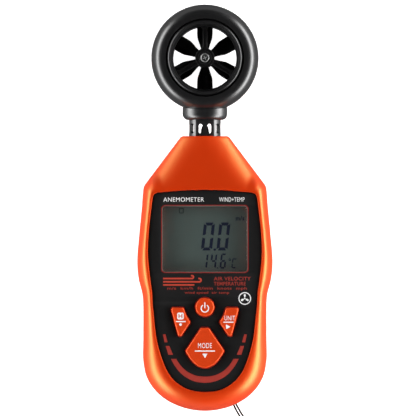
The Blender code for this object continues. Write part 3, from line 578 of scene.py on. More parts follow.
def inset(loop, distance):
    """A closed loop of (x, y) points moved inwards, each edge by the same distance."""
    found = []
    for i, here in enumerate(loop):
        here, before, after = Vector(here), Vector(loop[i - 1]), Vector(loop[(i + 1) % len(loop)])
        a, b = (here - before).normalized(), (after - here).normalized()
        normal = Vector((-a.y - b.y, a.x + b.x)).normalized()
        reach = distance / max(normal.dot(Vector((-a.y, a.x))), 0.4)
        found.append((here.x + normal.x * reach, here.y + normal.y * reach))
    return found


def anticlockwise(loop):
    return sum(a[0] * b[1] - a[1] * b[0] for a, b in zip(loop, [*loop[1:], loop[0]])) > 0


def grown(points, distance):
    """A closed polygon moved outwards, whichever way round it runs."""
    return inset(points, -distance if anticlockwise(points) else distance)


def rounded(points, radius, steps=6):
    """A closed polygon with round corners, of one radius or one for each corner."""
    found = []
    radii = radius if isinstance(radius, list) else [radius] * len(points)
    for i, (here, radius) in enumerate(zip(points, radii)):
        here, before, after = Vector(here), Vector(points[i - 1]), Vector(points[(i + 1) % len(points)])
        into, out = before - here, after - here
        half = into.angle(out) / 2
        reach = min(radius / tan(half), 0.45 * into.length, 0.45 * out.length)
        a, b = here + into.normalized() * reach, here + out.normalized() * reach
        middle = here + (into.normalized() + out.normalized()).normalized() * (reach / cos(half))
        for k in range(steps + 1):
            spoke = (a - middle).slerp(b - middle, k / steps)
            found.append(tuple(middle + spoke.normalized() * (a - middle).length))
    return found


def oblong(x0, y0, x1, y1):
    return [(x0, y0), (x1, y0), (x1, y1), (x0, y1)]


def centred(w, h, y):
    """A rectangle by its half width, half height and the height of its middle."""
    return [(w, y - h), (w, y + h), (-w, y + h), (-w, y - h)]


def arc(x, y, radius, first, last, steps):
    """Points from one angle to another, in degrees, both ends included."""
    turns = [radians(first + (last - first) * k / steps) for k in range(steps + 1)]
    return [(x + radius * cos(t), y + radius * sin(t)) for t in turns]


def circle(x, y, radius, steps=64):
    return arc(x, y, radius, 0, 360, steps)[:-1]


def key_outline(name, grow=0.0):
    if name == "power_key":
        x, y, radius = POWER_KEY
        return circle(x, y, radius + grow)
    if name == "mode_key":
        corners = [*MODE_KEY, *[(-x, y) for x, y in MODE_KEY[-2::-1]]]
        radii = [(KEY_CORNER if y > MODE_LOW_Y else MODE_LOW_CORNER) + grow for _, y in corners]
        return rounded(grown(corners, grow), radii)
    side = -1 if name == "hold_key" else 1
    return rounded(grown([(side * x, y) for x, y in SIDE_KEY], grow), KEY_CORNER + grow)


def window_outline(grow=0.0):
    half_w, half_h, y, radius = WINDOW
    return rounded(centred(half_w + grow, half_h + grow, y), radius + grow)


def profile_of(points, sign):
    """A turned profile, mirrored to the back where sign is -1."""
    return [(r, sign * h) for r, h in points]


# ---- case
def wall_rings(inner, rise, start_z, end_z, wall=0.0, wall_z=0.0, steps=12):
    """Rings up the wall and round the edge to the inner outline."""
    outer = inset(SILHOUETTE, wall) if wall else SILHOUETTE
    rings = [[(*p, start_z) for p in outer]]
    for k in range(steps + 1):
        angle = radians(90 * k / steps)
        ring = []
        for p, q, (low, high, share) in zip(outer, inner, rise):
            t = share * (1 - cos(angle))
            top = high - wall_z
            low = min(low, top - 0.5) if end_z > start_z else max(low, top + 0.5)
            ring.append((p[0] + (q[0] - p[0]) * t, p[1] + (q[1] - p[1]) * t, low + (top - low) * sin(angle)))
        rings.append(ring)
    return rings


def neck_cuts():
    """The neck's hole through the case's end, its chamfer, and room for the flange inside."""
    hole, room = NECK_R + GAP, FLANGE_R + GAP
    tools = ((hole, 28.0, 33.0, hole), (hole, 30.85, 31.85, hole + 1.0), (room, 22.0, 28.9, room))
    return rods([(0, 0, SPLIT_Z)], tools, BLACK, "Y", 96)


def limited(value):
    return min(max(value, 0.0), 1.0)


def eased(value, low=0.0, high=1.0):
    t = limited((value - low) / (high - low))
    return t * t * (3 - 2 * t)


def shoulder_height(x, y):
    """Height of the face between the panel and the neck: a ramp that falls off to both slanted edges."""
    near = limited((NECK_END_Y - y) / 1.2)
    top = CREST_Z - max(0.0, y - RAMP[0]) * RAMP[1] - 1.0 + sqrt(1 - (1 - near) ** 2)
    inside = limited((SLANT[0] - Vector((abs(x), y))).dot(SLANT[1]) / SHOULDER_RUN)
    return SHOULDER_LOW + (top - SHOULDER_LOW) * sqrt(1 - (1 - inside) ** EDGE_POWER)


def face_rings(steps=22):
    """Rings from the silhouette to the crest: elliptical sides that run into the curved shoulders."""
    rings = []
    for k in range(steps + 1):
        angle = radians(90 * k / steps)
        t = 1 - cos(angle)
        ring = []
        for p, q, (low, _, share) in zip(SILHOUETTE, CREST, FRONT_RISE):
            x, y = p[0] + (q[0] - p[0]) * t, p[1] + (q[1] - p[1]) * t
            side = low + (CREST_Z - low) * sin(angle)
            neck = shoulder_height(x, y) + (CREST_Z - shoulder_height(*q)) * t**2
            ring.append((x, y, neck + (side - neck) * eased(share, 0.75)))
        rings.append(ring)
    return rings


def seam_lip(sign):
    """The small chamfer where the two halves of the case meet."""
    return [
        [(*p, SPLIT_Z + sign * 0.15) for p in inset(SILHOUETTE, 0.3)],
        [(*p, SPLIT_Z + sign * 0.45) for p in SILHOUETTE],
    ]


def make_front_case():
    # From the crest over a small round, down the chamfer to the recess for the panel
    deck = DECK_TOP_Z - CREST_Z
    rim = ((0.08, -0.01), (0.15, -0.05), (0.2, -0.13), (0.36, -0.42), (0.4, -0.55), (0.4, deck))
    ends = [[(*p, CREST_Z + drop) for p in inset(CREST, amount)] for amount, drop in rim]
    shell = loft("front_case", [*seam_lip(1), *face_rings(), *ends], ORANGE, 28)
    hollow = wall_rings(inset(CREST, 0.6), FRONT_RISE, SPLIT_Z - 1, DECK_LOW_Z, WALL, CREST_Z - DECK_LOW_Z, 5)
    hollow.append([(*q, DECK_LOW_Z) for q in inset(CREST, 0.8)])
    ways = [window_outline(0.1), *[key_outline(name, KEY_CLEARANCE) for name in KEY_NAMES]]
    cuts = [loft("front_hollow", hollow, ORANGE)]
    cuts += [plate(f"way_{i}", [way], DECK_LOW_Z - 1, CREST_Z, ORANGE) for i, way in enumerate(ways)]
    shell = combine(shell, [*cuts, *neck_cuts()], sharp=28)
    placed(shell, "front_shell")


def door_prism(name, grow):
    low_half, high_half = (half + grow for half in DOOR_HALVES)
    top, step = DOOR_TOP_Z + grow, 0.2
    section = (
        (-low_half, -1.0), (low_half, -1.0), (low_half, step), (high_half, top), (-high_half, top),
        (-low_half, step),
    )
    return loft(name, [[(x, y, z) for x, z in section] for y in (PAST_END_Y, DOOR_START_Y + grow)], ORANGE)


def back_rings():
    body = wall_rings(BACK_EDGE, BACK_RISE, SPLIT_Z - 0.45, 0.0)[1:]
    return [*seam_lip(-1), *body, [(*q, 0.0) for q in inset(BACK_EDGE, 0.4)]]


def make_rear_case():
    hollow = wall_rings(inset(BACK_EDGE, 0.4), BACK_RISE, SPLIT_Z + 1, WALL, WALL, -WALL, 5)
    hollow.append([(*q, WALL) for q in inset(BACK_EDGE, 0.8)])
    x, y = EYELET
    eyelet_mass = block("eyelet_mass", (x - 5, -90, 0), (x + 5, y + 3.8, 13.6), ORANGE)
    hollow = combine(loft("rear_hollow", hollow, ORANGE), [eyelet_mass])
    shell = combine(loft("rear_case", back_rings(), ORANGE, 28), [hollow])
    half, (near, far), thick = BAY_HALF, BAY_Y, BAY_WALL
    walls = (
        (-half - thick, near - thick, -half, far + thick), (half, near - thick, half + thick, far + thick),
        (-half - 0.2, near - thick, half + 0.2, near), (-half - 0.2, far, half + 0.2, far + thick),
    )
    joins = [
        block(f"bay_{i}", (x0, y0, BAY_Z[0]), (x1, y1, BAY_Z[1]), ORANGE)
        for i, (x0, y0, x1, y1) in enumerate(walls)
    ]
    joins.append(block("bay_roof", (-half - 0.7, near - 0.7, 13.4), (half + 0.7, far + 0.7, 14.5), ORANGE))
    joins += rods(CASE_SCREWS, CASE_POSTS, ORANGE)
    cuts = [
        *rods(CASE_SCREWS, CASE_HOLES, ORANGE),
        door_prism("door_way", GAP),
        block("eyelet_pocket", (x - 3, PAST_END_Y, EYELET_Z[0]), (x + 3, y + 1.8, EYELET_Z[1]), ORANGE, 0.5),
        rod("pin_seat", (x, y, 0), 1.2, EYELET_Z[0] - 1.5, EYELET_Z[1] + 1.5, ORANGE),
        *neck_cuts(),
    ]
    placed(combine(shell, cuts, joins, sharp=28), "rear_shell")


def make_door():
    """The back's own skin inside the door's section, a little sunk, with grip grooves and an arrow."""
    door = loft("door_cover", back_rings(), ORANGE, 28)
    sunk = 0.15 * MM
    for vertex in door.data.vertices:
        vertex.co.z += sunk
    door = combine(door, keeps=[door_prism("door_section", 0.0)], sharp=28)
    cuts = []
    for k in range(5):
        y = DOOR_START_Y - 4.0 - 1.6 * k
        cuts.append(block(f"groove_{k}", (-6.0, y - 0.4, -1.0), (6.0, y + 0.4, 0.65), ORANGE, 0.15))
    y = DOOR_START_Y - 15.5
    cuts.append(plate("arrow", [[(-2.2, y + 1.4), (2.2, y + 1.4), (0.0, y - 1.8)]], -1.0, 0.55, ORANGE))
    placed(combine(door, cuts, sharp=28), "battery_door", "battery_door")


# ---- face panel, print and display
def lettering(name, text, box, low, high, paint, heavy=0.02):
    """Plain generic lettering, scaled to fill a box of (x0, y0, x1, y1)."""
    curve, obj = drawn(name, "FONT", paint)
    curve.body, curve.offset, curve.space_character = text, heavy, 1.08
    curve.extrude, curve.resolution_u = 0.01, 4
    obj = applied(obj)
    vertices = obj.data.vertices
    for k, (goal_low, goal_high) in enumerate(((box[0], box[2]), (box[1], box[3]), (low, high))):
        lowest, highest = min(v.co[k] for v in vertices), max(v.co[k] for v in vertices)
        for vertex in vertices:
            t = (vertex.co[k] - lowest) / (highest - lowest)
            vertex.co[k] = (goal_low + (goal_high - goal_low) * t) * MM
    return obj


def inked(name, outlines, paint):
    return plate(name, outlines, *PRINT_Z, paint)


def band(points, width):
    """The outline of a ribbon of one width along an open line of points."""
    sides = [], []
    for i, here in enumerate(points):
        a, b = Vector(points[max(i - 1, 0)]), Vector(points[min(i + 1, len(points) - 1)])
        along = (b - a).normalized()
        for side, sign in zip(sides, (1, -1)):
            side.append((here[0] - sign * along.y * width / 2, here[1] + sign * along.x * width / 2))
    return [*sides[0], *sides[1][::-1]]


def wind_lines():
    """Three lines from one left edge; the upper two end in a curl."""
    left, width = -18.2, 0.68
    made = []
    for i, (y, length, curl) in enumerate(((-30.9, 12.6, 0.62), (-32.35, 15.8, 0.75), (-33.7, 13.6, 0.0))):
        line = [(left + length * k / 24, y) for k in range(25)]
        if curl:
            line += arc(left + length, y + curl, curl, -72, 126, 11)
        made.append(inked(f"wind_line_{i}", [band(line, width)], RED_INK))
    return made


def fan_icon(x, y, radius):
    """A ring with three blades: a plain sign for the vane."""
    made = [inked("fan_ring", [circle(x, y, radius), circle(x, y, radius - 0.42)], WHITE_INK)]
    for k in range(3):
        turn = radians(90 + 120 * k)
        petal = []
        for a in (radians(30 * step) for step in range(12)):
            u, v = 1.15 + 0.75 * cos(a), 0.42 * sin(a) * (1 + 0.35 * cos(a))
            petal.append((x + u * cos(turn) - v * sin(turn), y + u * sin(turn) + v * cos(turn)))
        made.append(inked(f"fan_blade_{k}", [petal], WHITE_INK))
    return [*made, inked("fan_hub", [circle(x, y, 0.33, 20)], WHITE_INK)]


WORDS = (
    ("ANEMOMETER", (-18.1, 2.6, -0.35, 4.5), WHITE_INK, 0.0),
    ("WIND+TEMP", (6.2, 2.6, 17.3, 4.5), WHITE_INK, 0.0),
    ("AIR VELOCITY", (3.9, -31.75, 20.0, -30.15), DARK_RED_INK, 0.015),
    ("TEMPERATURE", (3.9, -33.95, 17.8, -32.35), DARK_RED_INK, 0.015),
    ("m/s  km/h  ft/min  knots  mph", (-16.4, -36.1, 18.3, -34.55), DARK_RED_INK, 0.01),
    ("wind speed  air temp", (-8.8, -37.85, 10.6, -36.5), DARK_RED_INK, 0.01),
)
MARKS = (
    ((-18.3, -55.3), (-17.2, -55.2), (-16.2, -58.7), (-17.55, -58.75)),
    ((-17.1, -60.3), (-15.5, -60.3), (-13.9, -64.15), (-15.9, -64.15)),
)
SMILE_OUTER = ((-14.8, -65.95), (-12.9, -69.3), (-10.0, -72.7), (-6.4, -75.0), (-3.2, -76.05), (0.0, -76.4))
SMILE_INNER = ((-12.5, -65.95), (-10.7, -68.7), (-8.1, -71.2), (-5.2, -72.8), (-2.6, -73.5), (0.0, -73.7))


def make_panel():
    holes = [window_outline(0.0), *[key_outline(name, KEY_CLEARANCE) for name in KEY_NAMES]]
    panel = plate("face_overlay", [inset(CREST, RIM_CHAMFER), *holes], *PANEL_Z, PANEL_BLACK, 0.05)
    placed(panel, "face_panel")

    ink = [lettering(f"words_{i}", text, box, *PRINT_Z, *rest) for i, (text, box, *rest) in enumerate(WORDS)]
    ink += [*fan_icon(17.4, -39.6, 2.75), *wind_lines()]
    for side in (-1, 1):
        for i, mark in enumerate(MARKS):
            outline = rounded([(-side * x, y) for x, y in mark], 0.12, 2)
            ink.append(inked(f"mark_{side}_{i}", [outline], DARK_RED_INK))
    outer, inner = spline(SMILE_OUTER, 5), spline(SMILE_INNER, 5)
    smile = [*outer, *[(-x, y) for x, y in outer[-2::-1]], *[(-x, y) for x, y in inner], *inner[-2::-1]]
    ink.append(inked("mark_arc", [smile], DARK_RED_INK))
    ink.append(inked("window_line", [window_outline(0.38), window_outline(0.04)], FRAME_INK))
    placed(joined("panel_print", ink))


SEGMENTS = {"0": "abcdef", "1": "bc", "4": "fgbc", "6": "afgedc", "C": "afed"}
LEAN = 0.115
LARGE, SMALL, UNIT = (4.8, 12.2, 1.3), (2.55, 6.6, 0.72), (2.0, 4.2, 0.42)     # width, height and stroke
DIGITS = (
    ("0", -1.75, -18.7, LARGE), ("0", 5.0, -18.7, LARGE), ("1", -1.7, -26.6, SMALL),
    ("4", 2.15, -26.6, SMALL), ("6", 6.35, -26.6, SMALL), ("C", 11.55, -26.4, UNIT),
)


def digit(name, glyph, x0, y0, size, low, high):
    """A slanted seven-segment figure; x0, y0 is its lower left corner before the slant."""
    w, h, s = size
    gap, mid = s * 0.16, h / 2
    shoulder, tip, half = s * 1.1, gap + s * 0.5, s / 2

    def across(y, inner):
        near, far, inside = gap + s * 0.35, gap + s * 0.8, y + inner * s
        return [(near, y), (far, inside), (w - far, inside), (w - near, y)]

    def upright(x, inner):
        top, inside = mid - gap, x + inner * s
        return [(x, gap + s * 0.35), (inside, gap + s * 0.85), (inside, top - s * 0.55), (x, top - s * 0.2)]

    middle = [(tip, mid), (shoulder, mid + half), (w - shoulder, mid + half), (w - tip, mid)]
    middle += [(w - shoulder, mid - half), (shoulder, mid - half)]
    shapes = {
        "a": across(h, -1), "d": across(0, 1), "g": middle, "e": upright(0, 1), "c": upright(w, -1),
        "f": [(x, h - y) for x, y in upright(0, 1)], "b": [(x, h - y) for x, y in upright(w, -1)],
    }
    return [
        plate(f"{name}_{part}", [[(x0 + x + y * LEAN, y0 + y) for x, y in shapes[part]]], low, high, LCD_INK)
        for part in SEGMENTS[glyph]
    ]


def make_display():
    y = WINDOW[2]
    edge = ((0.0, PANEL_Z[0]), (0.0, 30.2), (0.12, 30.36), (0.3, 30.45), (0.5, 30.49), (0.7, PANEL_Z[1]))
    rings = [[(*p, z) for p in window_outline(-GAP - shrink)] for shrink, z in edge]
    placed(loft("clear_window", rings, LENS), "display_lens")

    film = rounded(centred(20.0, 15.6, y), 0.8)
    glass = block("lcd_plate", (-21.2, y - 17.6, 25.1), (21.2, y + 17.6, 26.3), LCD_GLASS, 0.1)
    layers = [
        block("upper_plate", (-21.0, y - 16.2, 26.2), (21.0, y + 16.2, 27.34), LCD_GLASS, 0.1),
        plate("film", [film], 27.3, LCD_TOP_Z, LCD_GLASS),
        block("seal", (20.9, y - 1.4, 26.3), (21.2, y + 1.4, 27.0), LCD_GLASS, 0.1),
    ]
    placed(combine(glass, joins=layers), "lcd_glass")

    heights = (LCD_TOP_Z, LCD_TOP_Z + 0.04)
    figures = []
    for i, (glyph, x0, y0, size) in enumerate(DIGITS):
        figures += digit(f"digit_{i}", glyph, x0, y0, size, *heights)
    cell = [rounded(oblong(-11.3, -2.5, -9.3, -0.2), 0.2, 2), oblong(-11.0, -2.2, -9.6, -0.5)]
    signs = (
        ([rounded([(3.75, -18.75), (4.75, -18.75), (4.85, -17.85), (3.85, -17.85)], 0.2, 2)], LCD_INK),
        ([circle(5.55, -26.3, 0.3, 12)], LCD_INK),
        ([circle(10.9, -22.7, 0.55, 16), circle(10.9, -22.7, 0.25, 16)], LCD_INK),
        (cell, LCD_FAINT),
    )
    figures += [plate(f"sign_{i}", outlines, *heights, paint) for i, (outlines, paint) in enumerate(signs)]
    figures.append(lettering("unit_speed", "m/s", (13.5, -5.6, 17.2, -3.6), *heights, LCD_INK))
    placed(joined("lcd_reading", figures))


# ---- keys
KEY_WORDS = {
    "unit_key": ("UNIT", (8.55, -49.1, 13.15, -47.15)),
    "mode_key": ("MODE", (-3.0, -61.25, 3.05, -59.0)),
}
LETTER_H = (
    (-11.5, -48.2), (-11.1, -48.2), (-11.1, -47.45), (-10.2, -47.45), (-10.2, -48.2), (-9.8, -48.2),
    (-9.8, -46.3), (-10.2, -46.3), (-10.2, -47.05), (-11.1, -47.05), (-11.1, -46.3), (-11.5, -46.3),
)
KEY_SIGNS = {
    "power_key": (
        [band(arc(0.0, -43.9, 1.62, 56, -236, 32), 0.46)],
        [rounded(oblong(-0.23, -43.8, 0.23, -41.25), 0.1, 2)],
    ),
    "hold_key": (
        [rounded(oblong(-12.1, -48.75, -9.2, -45.75), 0.75), LETTER_H],
        [oblong(-12.65, -49.9, -8.35, -49.4)],
        [circle(-10.6, -50.95, 0.58, 24)],
    ),
    "unit_key": (
        [oblong(8.1, -50.15, 12.5, -49.7)],
        [rounded([(9.2, -53.0), (11.2, -51.95), (9.2, -50.85)], 0.12, 2)],
    ),
    "mode_key": (
        [oblong(-4.4, -62.75, 4.4, -62.25)],
        [rounded([(0.0, -65.6), (1.15, -63.65), (-1.15, -63.65)], 0.12, 2)],
    ),
}


def key_legend(name, low, high):
    made = [plate(f"sign_{i}", outlines, low, high, WHITE_INK) for i, outlines in enumerate(KEY_SIGNS[name])]
    if name in KEY_WORDS:
        made.append(lettering("key_word", *KEY_WORDS[name], low, high, WHITE_INK, 0.0))
    return joined(f"{name}_legend", made)


def make_keys():
    round_w, round_h = KEY_ROUND
    for name in KEY_NAMES:
        outline = key_outline(name)
        rings = [[(*p, KEY_SKIRT_Z) for p in outline]]
        for k in range(7):
            a = radians(15 * k)
            z = KEY_TOP_Z - round_h * (1 - sin(a))
            rings.append([(*p, z) for p in key_outline(name, -round_w * (1 - cos(a)))])
        rings.append([(*p, KEY_TOP_Z - 0.02) for p in key_outline(name, -0.8)])
        x, y = [sum(p[k] for p in outline) / len(outline) for k in range(2)]
        flange = plate(f"{name}_flange", [key_outline(name, KEY_FLANGE[0])], *KEY_FLANGE[1:], KEY_ORANGE)
        stem = rod(f"{name}_stem", (x, y, 0), *KEY_STEM, KEY_ORANGE)
        cap = combine(loft(f"{name}_cap", rings, KEY_ORANGE, 40), joins=[flange, stem], sharp=40)
        placed(cap, name, name)
        placed(key_legend(name, KEY_TOP_Z - 0.04, KEY_TOP_Z + 0.015), body=name)
    # Lips of the web fill the gaps round the keys with its darkened red, painted shade for the depth of the
    # gaps.
    outer, inner, *heights = KEY_LIP
    lips = [
        plate(f"{name}_lip", [key_outline(name, outer), key_outline(name, inner)], *heights, WEB_SHADED_RED)
        for name in KEY_NAMES
    ]
    placed(joined("key_lips", lips))
    frame["nodes"]["keypad_web"].material_slots[0].material = WEB_SHADED_RED


# ---- neck, collar and head
def make_neck():
    flange_top, low, inner_r = 28.6, 27.0, 5.5
    profile = [
        (NECK_R, COLLAR_END_Y), (NECK_R, flange_top), (FLANGE_R, flange_top), (FLANGE_R, low), (inner_r, low),
        (inner_r, COLLAR_END_Y),
    ]
    sleeve = turned("neck_tube", profile, BLACK, (0, 0, SPLIT_Z), "Y", 120)
    low, high, r = 32.4, 36.9, 1.15
    outline = arc(0, high - r, r, 0, 180, 12) + arc(0, low + r, r, 180, 360, 12)
    cuts = []
    for k in range(5):
        slot = plate(f"slot_{k}", [outline], -9.0, 9.0, BLACK)
        turn = Matrix.Rotation(radians(18 + 36 * k), 4, "Y")
        slot.data.transform(Matrix.Translation((0, 0, SPLIT_Z * MM)) @ turn)
        cuts.append(slot)
    placed(softened(combine(sleeve, cuts), 0.13, 2, 50), "neck_sleeve")


def ring_outline(sign=1, grow=0.0, steps=24):
    """The head's outer skin from the mouth to the mid plane: a full quarter of a superellipse."""
    points = [(MOUTH_EDGE_R - 0.1, sign * (HEAD_HALF + grow))]
    for k in range(steps + 1):
        angle = radians(90 * k / steps)
        r = (HEAD_R - MOUTH_EDGE_R + grow) * sin(angle) ** (2 / HEAD_POWER)
        h = (HEAD_HALF + grow) * cos(angle) ** (2 / HEAD_POWER)
        points.append((MOUTH_EDGE_R + r, sign * max(h, 0.15)))
    return points


def make_head():
    inner = [
        (22.0, 0.15), (22.0, 2.6), (21.5, 5.4), (20.8, 7.6), (19.9, 9.3), (18.8, 10.25), (15.7, 10.3),
        (15.7, 10.85), (16.9, 11.05), (17.1, 11.3),
    ]
    screws = [(*p, SPLIT_Z) for p in arc(0, HEAD[1], HEAD_SCREW_R, 90, 330, 2)]
    for name, node, sign in (("front_ring", "head_front_shell", 1), ("rear_ring", "head_rear_shell", -1)):
        edge = profile_of([(HEAD_R, 0.45), (HEAD_R - 0.25, 0.15)], sign)
        profile = [*ring_outline(sign)[:-1], *edge, *profile_of(inner, sign)]
        skin = turned(name, profile, BLACK, HEAD, steps=160)
        cuts = rods(screws, HEAD_HOLES[sign], BLACK)
        cuts.append(rod("cable_way", (-2.5, 0, SPLIT_Z), 1.3, 40.0, 45.0, BLACK, "Y"))
        placed(combine(skin, cuts, rods(screws, HEAD_POSTS[sign], BLACK)), node)


def make_collar():
    foot = arc(COLLAR_R - 2.5, 40.9, 2.5, 0, -90, 8)[1:]
    hole, end = NECK_R + GAP, 50.0
    bore = [(hole + 0.2, 38.4), (hole, 38.6), (hole, end)]
    profile = [(COLLAR_R, end), (COLLAR_R, COLLAR_END_Y), *foot, *bore]
    collar = turned("collar_sleeve", profile, BLACK, (0, 0, SPLIT_Z), "Y", 120)
    front, back = ring_outline(1, 0.12), ring_outline(-1, 0.12)
    solid = [(0, 13.2), *front[:-1], *back[-2::-1], (0, -13.2)]
    bulk = turned("head_bulk", solid, BLACK, HEAD, closed=False, steps=160)
    placed(combine(collar, [bulk]), "neck_collar")


# ---- guards, impeller and bearings
def on_axis(obj, degrees):
    """Turns a mesh made round the origin and moves it to the head's axis."""
    obj.data.transform(Matrix.Translation(Vector(HEAD) * MM) @ Matrix.Rotation(radians(degrees), 4, "Z"))
    return obj


LINER = (
    (15.4, 0.15), (15.4, 11.2), (16.6, 11.4), (16.85, 11.6), (16.88, 11.85), (16.8, 12.0), (15.8, 12.78),
    (15.55, 12.92), (15.3, 12.94), (15.1, 12.86), (14.95, 12.65), (14.85, 12.3), (14.75, 11.7), (14.5, 10.9),
    (14.1, 10.1), (13.9, 9.5), (MOUTH_R, 8.9), (MOUTH_R, 4.9), (MOUTH_R + 0.1, 4.7), (DUCT_R, 4.3),
    (DUCT_R, 0.15),
)
GUARD_HUB = (
    (0, 5.0), (4.1, 5.0), (4.25, 5.2), (4.25, 7.8), (4.15, 8.1), (3.9, 8.25), (3.1, 8.25), (3.0, 8.35),
    (3.0, 8.8), (2.9, 9.0), (2.35, 9.0), (2.25, 8.85), (0, 8.85),
)
CAP_RIM = (
    (0, 7.6), (1.95, 7.6), (1.95, 9.05), (1.88, 9.22), (1.72, 9.3), (1.56, 9.24), (1.48, 9.05), (1.46, 8.3),
    (0, 8.3),
)
CAP_DISH = ((0, 8.25), (1.5, 8.25), (1.5, 8.62), (0.9, 8.7), (0, 8.72))
WHEEL_HUB = ((0.8, 4.0), (2.4, 4.0), (3.0, 3.8), (3.4, 3.3), (3.55, 2.7))
BLADE = ((2.9, 2.4), (4.3, 3.05), (5.6, 3.8), (6.8, 4.6), (8.2, 5.6), (9.5, 6.35), (11.4, 6.6), (14.0, 6.7))


def mirrored_block(name, sign, low, high, paint, round_to, segments=2):
    """A block whose heights are mirrored to the back where sign is -1."""
    bottom, top = sorted((sign * low[2], sign * high[2]))
    return block(name, (*low[:2], bottom), (*high[:2], top), paint, round_to, segments)


def guard_arm(k, sign):
    """An arm with a groove along its top, which flares out where it meets the duct."""
    arm = mirrored_block(f"arm_{k}", sign, (3.6, -1.1, 5.9), (14.2, 1.1, 8.0), BLACK, 0.3, 3)
    groove = mirrored_block("groove", sign, (4.6, -0.62, 7.6), (13.9, 0.62, 8.4), BLACK, 0.2, 3)
    flare = [(12.6, -1.0), (14.2, -2.3), (14.2, 2.3), (12.6, 1.0)]
    flare = plate("flare", [flare], *sorted((sign * 6.4, sign * 7.8)), BLACK, 0.15)
    return on_axis(combine(combine(arm, [groove]), joins=[flare]), 90 + 120 * k)


def make_guards():
    for name, node, sign in (("front_grille", "front_guard", 1), ("rear_grille", "rear_guard", -1)):
        liner = turned(name, profile_of(LINER, sign), BLACK, HEAD, steps=160)
        hub = turned(f"{name}_hub", profile_of(GUARD_HUB, sign), BLACK, HEAD, closed=False, steps=64)
        arms = [guard_arm(k, sign) for k in range(3)]
        cuts = [rod("bore", HEAD, 2.2, *sorted((sign * 4.0, sign * 10.0)), BLACK)]
        if sign < 0:
            low, high = (-1.9, 47.2, SPLIT_Z - 3.9), (1.9, 53.0, SPLIT_Z - 0.5)
            cuts.append(block("pickup_window", low, high, BLACK))
        placed(combine(liner, cuts, [hub, *arms]), node)


def blade(name, degrees):
    """A helical blade, narrow at the hub and petal-wide at the tip, with round corners and edges."""
    across = 8
    shape = bmesh.new()
    rows = []
    for radius, width in spline(BLADE, 3):
        row = []
        for i in range(across + 1):
            v = i / across - 0.5
            angle = width * v / radius
            row.append(shape.verts.new(Vector((radius * cos(angle), radius * sin(angle), -6.0 * v)) * MM))
        rows.append(row)
    for low, high in zip(rows, rows[1:]):
        for i in range(across):
            shape.faces.new((low[i], high[i], high[i + 1], low[i + 1]))
    obj = from_bmesh(name, shape, VANE_BLACK)
    skin = obj.modifiers.new("skin", "SOLIDIFY")
    skin.thickness, skin.offset = 0.7 * MM, 0
    return on_axis(softened(applied(obj), 0.2, 2, 60), degrees)


def make_impeller():
    profile = [*WHEEL_HUB, *profile_of(WHEEL_HUB[::-1], -1)]
    hub = turned("vane_wheel", profile, VANE_BLACK, HEAD, steps=64)
    blades = [blade(f"blade_{k}", 90 + 60 * k) for k in range(6)]
    placed(combine(hub, joins=blades), "impeller", "vane")


def make_caps():
    """A bright rim round a dish with a cross, over each bearing; the dish's dark metal is painted shade for a
    deep recess.
    """
    for name, node, sign in (("front_cap", "front_bearing_cap", 1), ("rear_cap", "rear_bearing_cap", -1)):
        pieces = [
            turned(name + part, profile_of(points, sign), paint, HEAD, closed=False, steps=64)
            for part, points, paint in (("", CAP_RIM, CAP_METAL), ("_dish", CAP_DISH, DISH_SHADE_METAL))
        ]
        for k in range(2):
            bar = mirrored_block(f"bar_{k}", sign, (-1.0, -0.2, 8.6), (1.0, 0.2, 8.95), CAP_METAL, 0.08)
            pieces.append(on_axis(bar, 25 + 90 * k))
        placed(joined(name, pieces), node)


def make_stalk():
    """The dark sensor stalk that shows through the neck's slots."""
    outline = [(-3.3, 25.2), (3.3, 25.2), (2.05, 32.2), (1.35, 35.6), (-1.35, 35.6), (-2.05, 32.2)]
    stalk = plate("sensor_stalk", [outline], 15.4, 16.6, BLACK, 0.15)
    rib = block("stalk_rib", (-0.35, 25.4, 15.0), (0.35, 35.0, 17.0), BLACK, 0.12)
    placed(combine(stalk, joins=[rib]), "sensor_carrier")


# ---- wrist strap
STRAND_R = 0.4
WRIST_CORD_R = 1.2
CLIP = (29.0, -112.0, 2.1)
CLIP_HALF = (3.1, 5.0, 2.0)
HANK_CENTRE = (29.0, -139.8)
FOLD_V = -11.0                # height of the lower folds' centres above the middle of the hank
LOW_Z, HIGH_Z, OVER_Z = 1.35, 3.48, 3.78      # cord on the table, on two runs, and over a crossing
TIE_V = -5.0
STRANDS = {
    "strap_strand_left": (
        (12.5, -86.0, 8.9), (12.9, -87.2, 8.5), (13.9, -89.2, 6.9), (15.3, -91.6, 5.2),
        (17.3, -94.4, 3.5), (20.0, -97.4, 1.6), (22.9, -99.8, 0.5), (25.6, -101.8, 0.45),
        (27.4, -103.9, 0.9), (28.2, -106.6, 2.1),
    ),
    "strap_strand_right": (
        (13.6, -86.0, 8.9), (14.2, -87.2, 8.5), (15.3, -89.2, 7.0), (16.8, -91.6, 5.3),
        (19.0, -94.2, 3.5), (21.9, -96.7, 1.6), (25.0, -98.5, 0.5), (27.9, -100.6, 0.45),
        (29.4, -103.4, 0.9), (29.8, -106.6, 2.1),
    ),
}
# The wrist cord's ends, from and to the clip: x and y from the middle of the hank, and z
LEAD_IN = (
    (-1.3, 24.6, 1.6), (-1.3, 22.8, 1.5), (-1.3, 20.8, 1.3), (-1.3, 18.5, 1.25), (-1.4, 16.0, 1.25),
    (-2.2, 13.0, 1.25), (-3.6, 10.0, 1.25), (-5.2, 7.0, 1.3), (-6.5, 4.0, LOW_Z), (-7.1, 1.0, LOW_Z),
    (-7.2, -2.0, LOW_Z), (-7.2, -6.5, LOW_Z),
)
LEAD_OUT = (
    (8.4, -6.5, HIGH_Z), (8.4, -2.0, HIGH_Z), (7.4, 1.0, 3.7), (5.6, 4.0, 3.1), (4.4, 6.4, 2.2),
    (3.3, 8.8, 1.45), (2.4, 11.2, 1.25), (1.7, 13.6, 1.25), (1.35, 16.0, 1.25), (1.3, 18.5, 1.25),
    (1.3, 20.8, 1.3), (1.3, 22.8, 1.5), (1.3, 24.6, 1.6),
)
